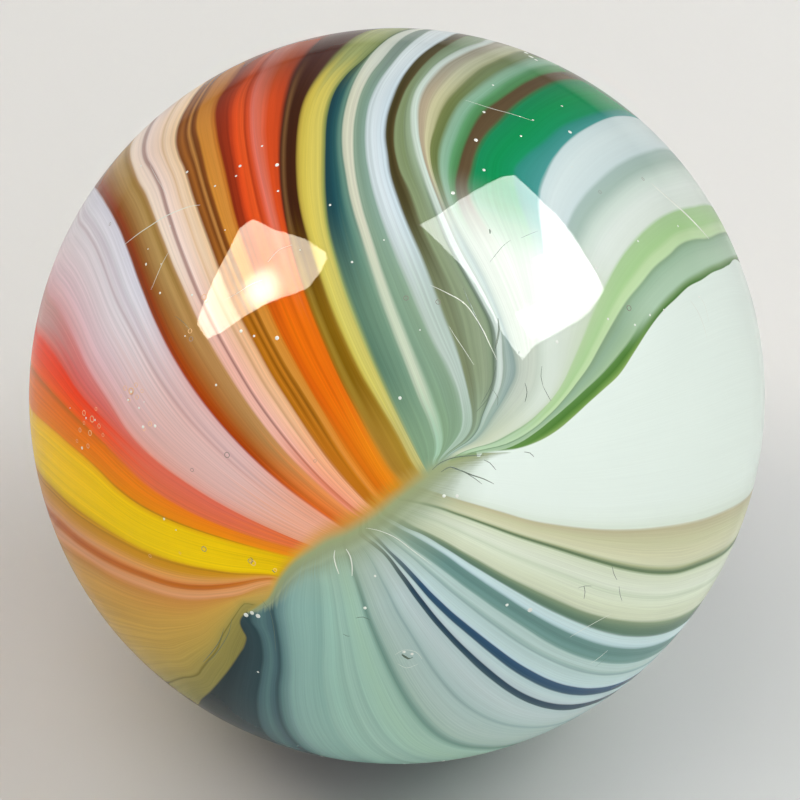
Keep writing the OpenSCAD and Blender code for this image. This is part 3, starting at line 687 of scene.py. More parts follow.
@dataclass(frozen=True)
class Seam:
    """The closed line where the two fans meet."""

    # Points measured at a time
    block: int = 8192
    # The share that stands for "beyond the tint"
    most_share: float = 4.0

    def knots(self) -> list[np.ndarray]:
        """Gives the seam's knots on the unit ball, from the far fold round to it again."""
        return ([FANS[Side.UPPER].point(way, angle) for way, angle in SEAM_RIGHT]
                + [FANS[Side.LOWER].point(way, angle) for way, angle in SEAM_LEFT])

    def stations(self) -> tuple[np.ndarray, list[np.ndarray]]:
        """Gives close points along the seam and, at each, the three widths of the stations."""
        knots = self.knots()
        line = smooth_run([*knots[:-1], knots[0]], 1)
        nearest = [int(np.argmax(line @ knot)) for knot in knots]
        nearest[-1] = len(line) - 1
        number = np.interp(np.arange(len(line)), nearest, np.arange(len(knots)))
        places, *widths = zip(*TINT_STATIONS)
        return line, [np.interp(number, places, width) for width in widths]

    def measure(self, points: np.ndarray) -> tuple[np.ndarray, np.ndarray]:
        """Measures points against the seam.

        Args:
            points: Unit vectors, one per row.

        Returns:
            Distance as a share of the tint's width there, and distance, above the seam
            positive, as a share of the soft crossing.
        """
        line, (under, above, soft) = self.stations()
        starts, ends = line[:-1], line[1:]
        across = np.cross(starts, ends)
        across /= np.linalg.norm(across, axis=1)[:, None]
        middles = (starts + ends) / 2
        middles /= np.linalg.norm(middles, axis=1)[:, None]
        share = np.empty(len(points))
        crossing = np.empty(len(points))
        for first in range(0, len(points), self.block):
            rows = slice(first, first + self.block)
            part = points[rows]
            near = np.argmax(part @ middles.T, axis=1)
            side = -np.einsum("ij,ij->i", part, across[near])
            span = ends[near] - starts[near]
            along = np.einsum("ij,ij->i", part - starts[near], span) / np.einsum("ij,ij->i", span, span)
            foot = starts[near] + np.clip(along, 0.0, 1.0)[:, None] * span
            gap = np.linalg.norm(part - foot, axis=1) * BALL_RADIUS * MILLIMETRES
            width = np.where(side > 0, above[near], under[near])
            tint = np.clip(gap / width, 0.0, self.most_share)
            share[rows] = np.where(width < TINT_LEAST, self.most_share, tint)
            crossing[rows] = np.where(side > 0, gap, -gap) / soft[near]
        return share, crossing


class Graph:
    """Small helper that lays out nodes."""

    def __init__(self, tree: bpy.types.NodeTree) -> None:
        """Keeps the node tree to fill."""
        self.tree = tree

    def node(self, kind: str, feeds: dict[str | int, object] | None = None,
             **values: object) -> bpy.types.Node:
        """Adds a node, sets its properties and feeds its inputs.

        Args:
            kind: Blender's name of the node type.
            feeds: Sockets or plain values, by the input's name or number.
            values: Properties to set.

        Returns:
            The node.
        """
        made = self.tree.nodes.new(kind)
        for name, value in values.items():
            setattr(made, name, value)
        for name, value in (feeds or {}).items():
            if isinstance(value, Socket):
                self.tree.links.new(value, made.inputs[name])
            else:
                made.inputs[name].default_value = value
        return made

    def attribute(self, name: str) -> Socket:
        """Reads a number that the mesh carries."""
        return self.node("ShaderNodeAttribute", attribute_name=name).outputs["Fac"]

    def math(self, operation: str, first: object, second: object = 0.0, third: object = 0.0,
             clamp: bool = False) -> Socket:
        """Adds a Math node.

        Args:
            operation: Blender's operation name.
            first: First value or socket.
            second: Second value or socket.
            third: Third value or socket.
            clamp: Whether the result stays between 0 and 1.

        Returns:
            The result.
        """
        feeds = {0: first, 1: second, 2: third}
        return self.node("ShaderNodeMath", feeds, operation=operation, use_clamp=clamp).outputs[0]

    def run(self, value: Socket, points: Guide) -> Socket:
        """Reads a smooth curve through points.

        Args:
            value: Where the curve is read, from 0 to 1.
            points: Places from 0 to 1 and values, in rising order.

        Returns:
            The curve's value, held beyond both ends.
        """
        made = self.node("ShaderNodeFloatCurve", {"Value": value})
        mapping = made.mapping
        mapping.use_clip = False
        mapping.extend = "HORIZONTAL"
        curve = mapping.curves[0]
        while len(curve.points) < len(points):
            curve.points.new(0.5, 0.5)
        for point, (place, number) in zip(curve.points, points):
            point.location = (place, number)
            point.handle_type = "AUTO"
        mapping.update()
        return made.outputs[0]

    def arrow(self, operation: str, first: object, second: object = (0.0, 0.0, 0.0),
              scale: object = 1.0, result: str = "Vector") -> Socket:
        """Adds a Vector Math node.

        Args:
            operation: Blender's operation name.
            first: First vector or socket.
            second: Second vector or socket.
            scale: Factor, where the operation has one.
            result: Which result to read.

        Returns:
            The result.
        """
        feeds = {0: first, 1: second, 3: scale}
        return self.node("ShaderNodeVectorMath", feeds, operation=operation).outputs[result]

    def dot(self, first: object, second: np.ndarray) -> Socket:
        """Measures a vector along a direction."""
        return self.arrow("DOT_PRODUCT", first, plain(second), result="Value")

    def span(self, value: Socket, low: float, high: float, out_low: float = 0.0,
             out_high: float = 1.0, kind: str = "LINEAR") -> Socket:
        """Maps a range of numbers to another, held at both ends.

        Args:
            value: The number.
            low: Start of the range.
            high: End of the range.
            out_low: Result at the start.
            out_high: Result at the end.
            kind: LINEAR or SMOOTHSTEP.

        Returns:
            The mapped number.
        """
        feeds = {"Value": value, "From Min": low, "From Max": high, "To Min": out_low, "To Max": out_high}
        return self.node("ShaderNodeMapRange", feeds, interpolation_type=kind, clamp=True).outputs["Result"]

    def ease(self, value: Socket, band: Pair, first: float = 0.0, last: float = 1.0) -> Socket:
        """Maps a band of numbers softly from one value to another."""
        return self.span(value, *band, first, last, "SMOOTHSTEP")

    def between(self, value: Socket, rise: Pair, fall: Pair) -> Socket:
        """Gives 1 between two bands of numbers, and 0 beyond them."""
        return self.math("MULTIPLY", self.span(value, *rise), self.span(value, *fall, 1.0, 0.0))

    def swing(self, value: Socket, width: float) -> Socket:
        """Turns noise of about 0 to 1 into a swing of a given width about 0."""
        return self.math("MULTIPLY_ADD", value, width, -width / 2)

    def drawn_out(self, number: Socket, way: Socket, pace: Pair) -> Socket:
        """Gives noise coordinates whose pace differs across and along the ribbons."""
        return self.vector(self.math("MULTIPLY", number, pace[0]), self.math("MULTIPLY", way, pace[1]))

    def mix(self, share: object, first: object, second: object, blend: str = "MIX") -> Socket:
        """Mixes two colours.

        Args:
            share: How much of the second.
            first: First colour or socket.
            second: Second colour or socket.
            blend: Blender's blend type.

        Returns:
            The mixed colour.
        """
        feeds = {0: share, 6: first, 7: second}
        return self.node("ShaderNodeMix", feeds, data_type="RGBA", blend_type=blend).outputs[2]

    def vector(self, x: object, y: object, z: object = 0.0) -> Socket:
        """Joins three numbers into a vector."""
        return self.node("ShaderNodeCombineXYZ", {0: x, 1: y, 2: z}).outputs[0]

    def noise(self, where: Socket, scale: float, detail: float = 2.0, roughness: float = 0.5) -> Socket:
        """Adds fractal noise, about 0 to 1.

        Args:
            where: Coordinates.
            scale: Noise scale.
            detail: Octaves.
            roughness: How much the fine octaves count.

        Returns:
            The noise value.
        """
        feeds = {"Vector": where, "Scale": scale, "Detail": detail, "Roughness": roughness}
        return self.node("ShaderNodeTexNoise", feeds).outputs["Fac"]

    def ramp(self, value: Socket, stops: Stops) -> Socket:
        """Colours a number from a list of stops, in as many colour ramps as they need.

        Args:
            value: The number.
            stops: Numbers and hex colours in rising order.

        Returns:
            The colour.
        """
        result = None
        for start in range(0, len(stops) - 1, RAMP_STOPS - 1):
            part = stops[start:start + RAMP_STOPS]
            low, high = part[0][0], part[-1][0]
            made = self.node("ShaderNodeValToRGB", {"Fac": self.span(value, low, high)})
            band = made.color_ramp
            while len(band.elements) > 1:
                band.elements.remove(band.elements[-1])
            for i, (number, code) in enumerate(part):
                place = (number - low) / (high - low)
                element = band.elements[0] if i == 0 else band.elements.new(place)
                element.position = place
                element.color = srgb(code)
            colour = made.outputs["Color"]
            if result is None:
                result = colour
            else:
                result = self.mix(self.math("GREATER_THAN", value, low), result, colour)
        return result


def new_material(name: str) -> tuple[bpy.types.Material, Graph]:
    """Starts an empty material.

    Args:
        name: Its name.

    Returns:
        The material, and the helper that fills it.
    """
    made = bpy.data.materials.new(name)
    made.use_nodes = True
    made.node_tree.nodes.clear()
    return made, Graph(made.node_tree)


def new_rule(name: str, inputs: dict[str, str]) -> tuple[Graph, bpy.types.Node]:
    """Starts a geometry node group.

    Args:
        name: Its name.
        inputs: Kinds of its named inputs. A material input comes after them.

    Returns:
        The helper that fills it, and the node that gives its inputs.
    """
    tree = bpy.data.node_groups.new(name, "GeometryNodeTree")
    for label, kind in (*inputs.items(), ("Material", "Material")):
        tree.interface.new_socket(label, in_out="INPUT", socket_type=f"NodeSocket{kind}")
    tree.interface.new_socket("Geometry", in_out="OUTPUT", socket_type="NodeSocketGeometry")
    graph = Graph(tree)
    return graph, graph.node("NodeGroupInput")


def ended_rule(graph: Graph, given: bpy.types.Node, form: Socket) -> bpy.types.NodeTree:
    """Ends a geometry node group: smooth shading, real geometry and the material.

    Args:
        graph: The node helper.
        given: The node that gives the group's inputs.
        form: The geometry.

    Returns:
        The node group.
    """
    smooth = graph.node("GeometryNodeSetShadeSmooth", {"Geometry": form})
    real = graph.node("GeometryNodeRealizeInstances", {0: smooth.outputs[0]})
    dressed = graph.node("GeometryNodeSetMaterial", {"Geometry": real.outputs[0],
                                                     "Material": given.outputs["Material"]})
    graph.node("NodeGroupOutput", {"Geometry": dressed.outputs[0]})
    return graph.tree


def grown(name: str, mesh: bpy.types.Mesh, tree: bpy.types.NodeTree,
          values: dict[str, object]) -> bpy.types.Object:
    """Runs a node group on a mesh and keeps the result as a plain mesh.

    Args:
        name: Name of the piece.
        mesh: The mesh that the group starts from.
        tree: The node group.
        values: Values for the group's inputs, by name.

    Returns:
        The piece.
    """
    holder = added(f"{name}_rule", mesh)
    rule = holder.modifiers.new("rule", "NODES")
    rule.node_group = tree
    for item in tree.interface.items_tree:
        if item.in_out == "INPUT" and item.name in values:
            rule[item.identifier] = values[item.name]
    holder.update_tag()
    evaluated = holder.evaluated_get(bpy.context.evaluated_depsgraph_get())
    finished = bpy.data.meshes.new_from_object(evaluated)
    finished.name = name
    bpy.data.objects.remove(holder)
    return added(name, finished)


@dataclass(frozen=True)
class SwirlGlass:
    """Polished glass with the swirl's ribbons in it."""

    name: str = "swirl_glass"
    gloss: float = 0.30
    uneven_gloss: float = 0.14
    coat: float = 0.55
    coat_roughness: float = 0.02
    coat_ior: float = 1.26
    ior: float = 1.45
    relief: float = 0.10
    relief_height: float = 0.00001
    # Noise scales of the slow drift, the dull patches and the relief
    drift_scale: float = 420.0
    dull_scale: float = 2600.0
    relief_scale: float = 5200.0
    # The part of the noise over which the gloss dulls
    dull_noise: Pair = (0.3, 0.75)
    # How far the tint's edge drifts, as a share of its width
    drift: float = 0.5
    # How far ribbon edges waver, on the ribbon scale, and how quickly across and along it
    upper_waver: float = 0.32
    lower_waver: float = 0.40
    waver_pace: Pair = (0.35, 9.0)
    # How far the upper fan's changes of colour shift from ribbon to ribbon, and how quickly
    shift: float = 0.07
    shift_pace: float = 1.4
    # Ways along the upper fan over which its other tables of colour come in or go out
    near_seam_ways: Pair = (0.125, 0.185)
    middle_ways: Pair = (0.215, 0.305)
    fold_ways: Pair = (0.27, 0.345)
    # These ways bring in painted shade on the rose ribbon at the rim
    rose_shade_ways: Pair = (0.30, 0.38)
    # These ways bring in painted shade: the ribbons darken towards the rim
    rim_shade_ways: Pair = (0.39, 0.465)
    # The ribbons between which they hold
    fold_ribbons: Pair = (151.5, 155.0)
    # Ribbons that take that painted shade
    rose_shade_ribbons: tuple[Pair, Pair] = ((102.1, 103.2), (105.0, 106.0))
    # Ribbons that take the painted shade at the rim
    rim_shade_ribbons: tuple[Pair, Pair] = ((127.8, 130.0), (158.0, 160.0))
    # How far from the lower fan's focus its ribbons take one shade, and how strongly
    junction_ways: Pair = (0.055, 0.135)
    junction_strength: float = 0.62
    # Two ribbon edges never come closer than this share of a full turn
    least_gap: float = 0.0001
    # How far the seam's tint frays, and how quickly across the ribbons
    fray: float = 1.3
    fray_pace: float = 2.2
    # Shares of the tint's width over which it fades, above and below the seam
    upper_fade: Pair = (0.0, 1.0)
    lower_fade: Pair = (0.15, 1.15)
    upper_tint: float = 0.9
    lower_tint: float = 0.92
    # Streaks: how quickly across and along the ribbons, the part of the noise that shows,
    # and how it darkens and lightens
    streak_pace: Pair = (3.2, 5.0)
    streak_noise: Pair = (0.36, 0.66)
    streak_tone: Pair = (-1.0, 0.5)
    # Ribbons between which the streaks' depth changes, and the depths
    upper_depth: tuple[Pair, Pair] = ((160.0, 171.0), (0.13, 0.02))
    lower_depth: tuple[Pair, Pair] = ((-92.0, -80.0), (0.02, 0.09))

    def material(self) -> bpy.types.Material:
        """Builds the material.

        Returns:
            The material.
        """
        glass, graph = new_material(self.name)
        body = graph.node("ShaderNodeTexCoord").outputs["Object"]
        dull = graph.span(graph.noise(body, self.dull_scale, 3.0, 0.6), *self.dull_noise,
                          self.gloss, self.gloss + self.uneven_gloss)
        relief = graph.node("ShaderNodeBump", {
            "Strength": self.relief, "Distance": self.relief_height,
            "Height": graph.noise(body, self.relief_scale, 4.0, 0.6)})
        skin = graph.node("ShaderNodeBsdfPrincipled", {
            "Coat Weight": self.coat, "Coat Roughness": self.coat_roughness, "Coat IOR": self.coat_ior,
            "IOR": self.ior, "Specular IOR Level": 0.0, "Roughness": dull,
            "Base Color": self.ribbons(graph, body), "Normal": relief.outputs["Normal"]})
        graph.node("ShaderNodeOutputMaterial", {"Surface": skin.outputs[0]})
        return glass

    def ribbons(self, graph: Graph, body: Socket) -> Socket:
        """Colours both fans and joins them at the seam.

        Args:
            graph: The node helper.
            body: Object coordinates.

        Returns:
            The colour.
        """
        share = graph.attribute("seam_share")
        slow = graph.noise(body, self.drift_scale, 3.0, 0.55)
        reach = graph.math("ADD", share, graph.swing(slow, self.drift))
        return graph.mix(graph.ease(graph.attribute("seam_side"), (-1.0, 1.0)),
                         self.lower_colour(graph, body, share, reach), self.upper_colour(graph, body, reach))

    def upper_colour(self, graph: Graph, body: Socket, reach: Socket) -> Socket:
        """Colours the upper fan, with painted shade where it nears the rim.

        Args:
            graph: The node helper.
            body: Object coordinates.
            reach: Distance from the seam as a share of the tint's width, with a slow drift.

        Returns:
            The colour.
        """
        number, way = self.place_in_fan(graph, body, Side.UPPER)
        place = self.waver(graph, number, way, self.upper_waver)
        slow = graph.noise(graph.vector(graph.math("MULTIPLY", place, self.shift_pace), 0.0), 1.0)
        late = graph.math("ADD", way, graph.swing(slow, self.shift))
        colour = graph.ramp(place, UPPER_RIBBONS)
        for share, stops in (
                (graph.ease(late, self.middle_ways, 1.0, 0.0), UPPER_MIDDLE),
                (graph.math("MULTIPLY", graph.ease(way, self.fold_ways, 1.0, 0.0),
                            graph.span(place, *self.fold_ribbons)), UPPER_FOLD),
                # Painted shade: the ribbons darken towards the rim
                (graph.math("MULTIPLY", graph.ease(late, self.rim_shade_ways),
                            graph.between(place, *self.rim_shade_ribbons)), UPPER_RIM_SHADE),
                (graph.ease(late, self.near_seam_ways, 1.0, 0.0), UPPER_NEAR_SEAM)):
            colour = graph.mix(share, colour, graph.ramp(place, stops))
        # Painted shade: the rose ribbon greys at the rim
        rose = graph.math("MULTIPLY", graph.ease(late, self.rose_shade_ways),
                          graph.between(place, *self.rose_shade_ribbons))
        colour = graph.mix(rose, colour, srgb(ROSE_RIM_SHADE))
        colour = self.streaks(graph, colour, place, way, self.upper_depth)
        return graph.mix(graph.ease(self.fibres(graph, reach, place), self.upper_fade, self.upper_tint, 0.0),
                         colour, graph.ramp(place, SEAM_EDGE))

    def lower_colour(self, graph: Graph, body: Socket, share: Socket, reach: Socket) -> Socket:
        """Colours the lower fan.

        Args:
            graph: The node helper.
            body: Object coordinates.
            share: Distance from the seam as a share of the tint's width.
            reach: The same, with a slow drift.

        Returns:
            The colour.
        """
        number, way = self.place_in_fan(graph, body, Side.LOWER)
        place = self.waver(graph, number, way, self.lower_waver)
        colour = self.streaks(graph, graph.ramp(place, LOWER_RIBBONS), place, way, self.lower_depth)
        colour = graph.mix(graph.span(way, *self.junction_ways, self.junction_strength, 0.0),
                           colour, srgb(JUNCTION_SHADE))
        return graph.mix(graph.ease(self.fibres(graph, reach, place), self.lower_fade, self.lower_tint, 0.0),
                         colour, graph.ramp(share, SEAM_TINT))

    def fibres(self, graph: Graph, reach: Socket, place: Socket) -> Socket:
        """Frays the edge of the seam's tint into fibres that follow the ribbons.

        Args:
            graph: The node helper.
            reach: Distance from the seam as a share of the tint's width.
            place: Place on the ribbon scale.

        Returns:
            The frayed distance.
        """
        fine = graph.noise(graph.vector(graph.math("MULTIPLY", place, self.fray_pace), 3.0), 1.0, 3.0)
        return graph.math("ADD", reach, graph.swing(fine, self.fray))

    def place_in_fan(self, graph: Graph, body: Socket, side: Side) -> tuple[Socket, Socket]:
        """Reads the place on a fan's ribbon scale, and the way from its focus.

        Args:
            graph: The node helper.
            body: Object coordinates.
            side: Which fan.

        Returns:
            Place on the ribbon scale, and way from the focus to the far fold.
        """
        fan = FANS[side]
        x, y, z, middle, half = fan.axes()
        centre = math.radians(fan.cut + 180.0)
        ahead = math.cos(centre) * x + math.sin(centre) * y
        beside = -math.sin(centre) * x + math.cos(centre) * y
        from_middle = graph.arrow("SUBTRACT", graph.arrow("NORMALIZE", body), plain(middle))
        across = graph.dot(from_middle, ahead)
        along = graph.dot(from_middle, beside)
        height = graph.dot(from_middle, z)
        turn = graph.math("ARCTAN2", along, across)
        angle = graph.math("MULTIPLY_ADD", turn, 180.0 / math.pi, fan.cut + 180.0)
        spread = graph.math("SQRT", graph.math("ADD", graph.math("MULTIPLY", across, across),
                                               graph.math("MULTIPLY", along, along)))
        lean = graph.math("ADD", graph.math("MULTIPLY", across, float(middle @ ahead)),
                          graph.math("MULTIPLY", along, float(middle @ beside)))
        outward = graph.math("DIVIDE", lean, spread)
        last = graph.math("ARCTAN2", half, outward)
        here = graph.math("ARCTAN2", height, graph.math("ADD", spread, outward))
        way = graph.math("DIVIDE", graph.math("ADD", here, last), graph.math("MULTIPLY", last, 2.0),
                         clamp=True)
        return self.ribbon_scale(graph, fan, angle, way), way

    def ribbon_scale(self, graph: Graph, fan: Fan, angle: Socket, way: Socket) -> Socket:
        """Bends the angle so that every ribbon edge gets one number along its whole run.

        Args:
            graph: The node helper.
            fan: The fan.
            angle: Angle about the fan's line, in degrees.
            way: Way from the focus to the far fold.

        Returns:
            Place on the ribbon scale.
        """
        here = graph.math("MULTIPLY_ADD", angle, 1.0 / FULL_TURN, -fan.cut / FULL_TURN)
        edges = [graph.run(way, tuple((w, (a - fan.cut) / FULL_TURN) for w, a in guide))
                 for _, guide in fan.guides]
        numbers = [number for number, _ in fan.guides]
        below = graph.math("MINIMUM", graph.math("SUBTRACT", here, edges[0]), 0.0)
        above = graph.math("MAXIMUM", graph.math("SUBTRACT", here, edges[-1]), 0.0)
        scale = graph.math("MULTIPLY_ADD", graph.math("ADD", below, above), FULL_TURN, numbers[0])
        for k in range(len(edges) - 1):
            width = graph.math("MAXIMUM", graph.math("SUBTRACT", edges[k + 1], edges[k]), self.least_gap)
            share = graph.math("DIVIDE", graph.math("SUBTRACT", here, edges[k]), width, clamp=True)
            scale = graph.math("MULTIPLY_ADD", share, numbers[k + 1] - numbers[k], scale)
        return scale

    def waver(self, graph: Graph, number: Socket, way: Socket, amount: float) -> Socket:
        """Lets the ribbon edges waver as drawn glass does.

        Args:
            graph: The node helper.
            number: Place on the ribbon scale.
            way: Way from the focus to the far fold.
            amount: How far an edge moves, on the ribbon scale.

        Returns:
            The moved place.
        """
        where = graph.drawn_out(number, way, self.waver_pace)
        return graph.math("MULTIPLY_ADD", graph.noise(where, 1.0, 3.0, 0.6), amount,
                          graph.math("SUBTRACT", number, amount / 2))

    def streaks(self, graph: Graph, colour: Socket, number: Socket, way: Socket,
                depth: tuple[Pair, Pair]) -> Socket:
        """Adds the fine drawn-out streaks that run along the ribbons.

        Args:
            graph: The node helper.
            colour: The ribbons' colour.
            number: Place on the ribbon scale.
            way: Way from the focus to the far fold.
            depth: Two ribbons, and how strongly the streaks darken and lighten at them.

        Returns:
            The streaked colour.
        """
        fine = graph.noise(graph.drawn_out(number, way, self.streak_pace), 1.0, 4.0, 0.62)
        lines = graph.span(fine, *self.streak_noise, *self.streak_tone)
        dark = graph.math("MULTIPLY_ADD", lines, graph.span(number, *depth[0], *depth[1]), 1.0)
        grey = graph.node("ShaderNodeCombineColor", {0: dark, 1: dark, 2: dark})
        return graph.mix(1.0, colour, grey.outputs[0], "MULTIPLY")


@dataclass(frozen=True)
class MarkFinish:
    """Nearly dull finish of a small mark, a little uneven along its length."""

    name: str
    colour: str
    roughness: float = 0.6
    specular: float = 0.1
    mottle: float = 0.12
    mottle_scale: float = 3000.0

    def material(self) -> bpy.types.Material:
        """Builds the material.

        Returns:
            The material.
        """
        made, graph = new_material(self.name)
        body = graph.node("ShaderNodeTexCoord").outputs["Object"]
        tone = srgb(self.colour)[:3]
        dark = (*(part * (1 - 2 * self.mottle) for part in tone), 1.0)
        light = (*(min(1.0, part * (1 + self.mottle)) for part in tone), 1.0)
        skin = graph.node("ShaderNodeBsdfPrincipled", {
            "Roughness": self.roughness, "Specular IOR Level": self.specular,
            "Base Color": graph.mix(graph.noise(body, self.mottle_scale), dark, light)})
        graph.node("ShaderNodeOutputMaterial", {"Surface": skin.outputs[0]})
        return made


@dataclass
class GlassBall:
    """The ball, built by a rule: an even cube grid blown up to a sphere, then chipped."""

    radius: float = BALL_RADIUS
    grid: int = 129
    # The points stand closer together round this place
    pull: float = 0.38
    pull_place: Pair = (-95.0, 32.0)
    # Chips at the seam's low end, worn pits and a nick, in metres
    chip_radius: float = 0.00020
    chip_depth: float = 0.00003
    chip_pitch: float = 0.00031
    pit_radius: float = 0.00025
    pit_depth: float = 0.00002
    nick_radius: float = 0.00030
    nick_depth: float = 0.00003
    # Points closer than this share of the radius are one point
    merge_share: float = 1e-4

    def tree(self) -> bpy.types.NodeTree:
        """Builds the node group that blows a cube grid up to a ball.

        Returns:
            The node group, with Radius, Grid and Material inputs.
        """
        graph, given = new_rule("ball_from_grid", {"Radius": "Float", "Grid": "Int"})
        grid = given.outputs["Grid"]
        cube = graph.node("GeometryNodeMeshCube", {
            "Size": (2.0, 2.0, 2.0), "Vertices X": grid, "Vertices Y": grid, "Vertices Z": grid})
        quarter = graph.arrow("SCALE", graph.node("GeometryNodeInputPosition").outputs[0], scale=math.pi / 4)
        unit = graph.arrow("NORMALIZE", graph.arrow("TANGENT", quarter))
        pull = plain(self.pull * towards(self.pull_place))
        pulled = graph.arrow("NORMALIZE", graph.arrow("ADD", unit, pull))
        moved = graph.node("GeometryNodeSetPosition", {
            "Geometry": cube.outputs["Mesh"],
            "Position": graph.arrow("SCALE", pulled, scale=given.outputs["Radius"])})
        return ended_rule(graph, given, moved.outputs[0])

    def build(self, glass: bpy.types.Material) -> bpy.types.Object:
        """Builds the ball as a plain mesh, chips it and writes the swirl on it.

        Args:
            glass: The ball's material.

        Returns:
            The ball.
        """
        values = {"Radius": self.radius, "Grid": self.grid, "Material": glass}
        ball = grown("swirl_ball", bpy.data.meshes.new("ball_seed"), self.tree(), values)
        mesh = ball.data
        self.merge(mesh)
        points = np.empty(len(mesh.vertices) * 3)
        mesh.vertices.foreach_get("co", points)
        units = points.reshape(-1, 3)
        units = units / np.linalg.norm(units, axis=1)[:, None]
        for name, numbers in zip(("seam_share", "seam_side"), Seam().measure(units)):
            write_values(mesh, name, numbers)
        self.scoop(mesh, units)
        return ball

    def merge(self, mesh: bpy.types.Mesh) -> None:
        """Closes the grid's edges, where the six faces of the cube meet."""
        work = bmesh.new()
        work.from_mesh(mesh)
        bmesh.ops.remove_doubles(work, verts=work.verts, dist=self.radius * self.merge_share)
        bmesh.ops.recalc_face_normals(work, faces=work.faces)
        work.to_mesh(mesh)
        work.free()

    def scoop(self, mesh: bpy.types.Mesh, units: np.ndarray) -> None:
        """Presses the worn places into the surface, as deep as the solid has them.

        Args:
            mesh: The ball's mesh.
            units: Its points as unit vectors.
        """
        turn = math.degrees(self.chip_pitch / self.radius) / 2
        marks = [((SEAM_LOW[0] + side * turn, SEAM_LOW[1]), self.chip_radius, self.chip_depth)
                 for side in (-1, 1)]
        marks += [(place, self.pit_radius, self.pit_depth) for place in PITS]
        marks.append((NICK, self.nick_radius, self.nick_depth))
        reach = np.full(len(units), self.radius)
        for place, radius, depth in marks:
            away = np.arccos(np.clip(units @ towards(place), -1, 1)) * self.radius
            rim = math.sqrt(2 * radius * depth)
            floor = self.radius - depth * np.clip(1 - (away / rim) ** 2, 0, 1)
            reach = np.minimum(reach, floor)
        mesh.vertices.foreach_set("co", (units * reach[:, None]).ravel())
        mesh.update()


@dataclass
class DrawnLines:
    """Fine lines in the glass, each swept along its run with tapered ends."""

    name: str
    lines: tuple[tuple[tuple[Pair, ...], float], ...]
    finish: MarkFinish
    sides: int = 6
    # Share of its half width by which a line stands out of the glass
    proud: float = 0.22
    # A line's ends: the least share of its width, how fast it narrows, and how far past
    # its first and last point it would end, in points
    least_taper: float = 0.22
    taper_power: float = 0.6
    taper_over: float = 0.6

    def tree(self) -> bpy.types.NodeTree:
        """Builds the node group that sweeps a round profile along edges.

        Returns:
            The node group, with Geometry, Sides and Material inputs.
        """
        graph, given = new_rule(f"{self.name}_sweep", {"Geometry": "Geometry", "Sides": "Int"})
        curve = graph.node("GeometryNodeMeshToCurve", {0: given.outputs["Geometry"]})
        width = graph.node("GeometryNodeInputNamedAttribute", {"Name": "half_width"}, data_type="FLOAT")
        profile = graph.node("GeometryNodeCurvePrimitiveCircle", {
            "Resolution": given.outputs["Sides"], "Radius": 1.0})
        swept = graph.node("GeometryNodeCurveToMesh", {
            "Curve": curve.outputs[0], "Scale": width.outputs[0],
            "Profile Curve": profile.outputs["Curve"], "Fill Caps": True})
        return ended_rule(graph, given, swept.outputs[0])

    def build(self) -> bpy.types.Object:
        """Builds the lines as one mesh.

        Returns:
            The piece.
        """
        points: list[tuple[float, ...]] = []
        widths: list[float] = []
        edges: list[tuple[int, int]] = []
        for corners, width in self.lines:
            run = smooth_run([seen_at(corner)[0] for corner in corners], 2)
            first = len(points)
            for i, unit in enumerate(run):
                share = (i + self.taper_over) / (len(run) - 1 + 2 * self.taper_over)
                taper = math.sin(math.pi * share) ** self.taper_power
                half = max(self.least_taper, taper) * width * PIXEL / 2
                widths.append(half)
                points.append(tuple(unit * (BALL_RADIUS - half * (1 - self.proud))))
            edges += [(i, i + 1) for i in range(first, len(points) - 1)]
        mesh = bpy.data.meshes.new(f"{self.name}_runs")
        mesh.from_pydata(points, edges, [])
        write_values(mesh, "half_width", widths)
        return grown(self.name, mesh, self.tree(), {"Sides": self.sides, "Material": self.finish.material()})


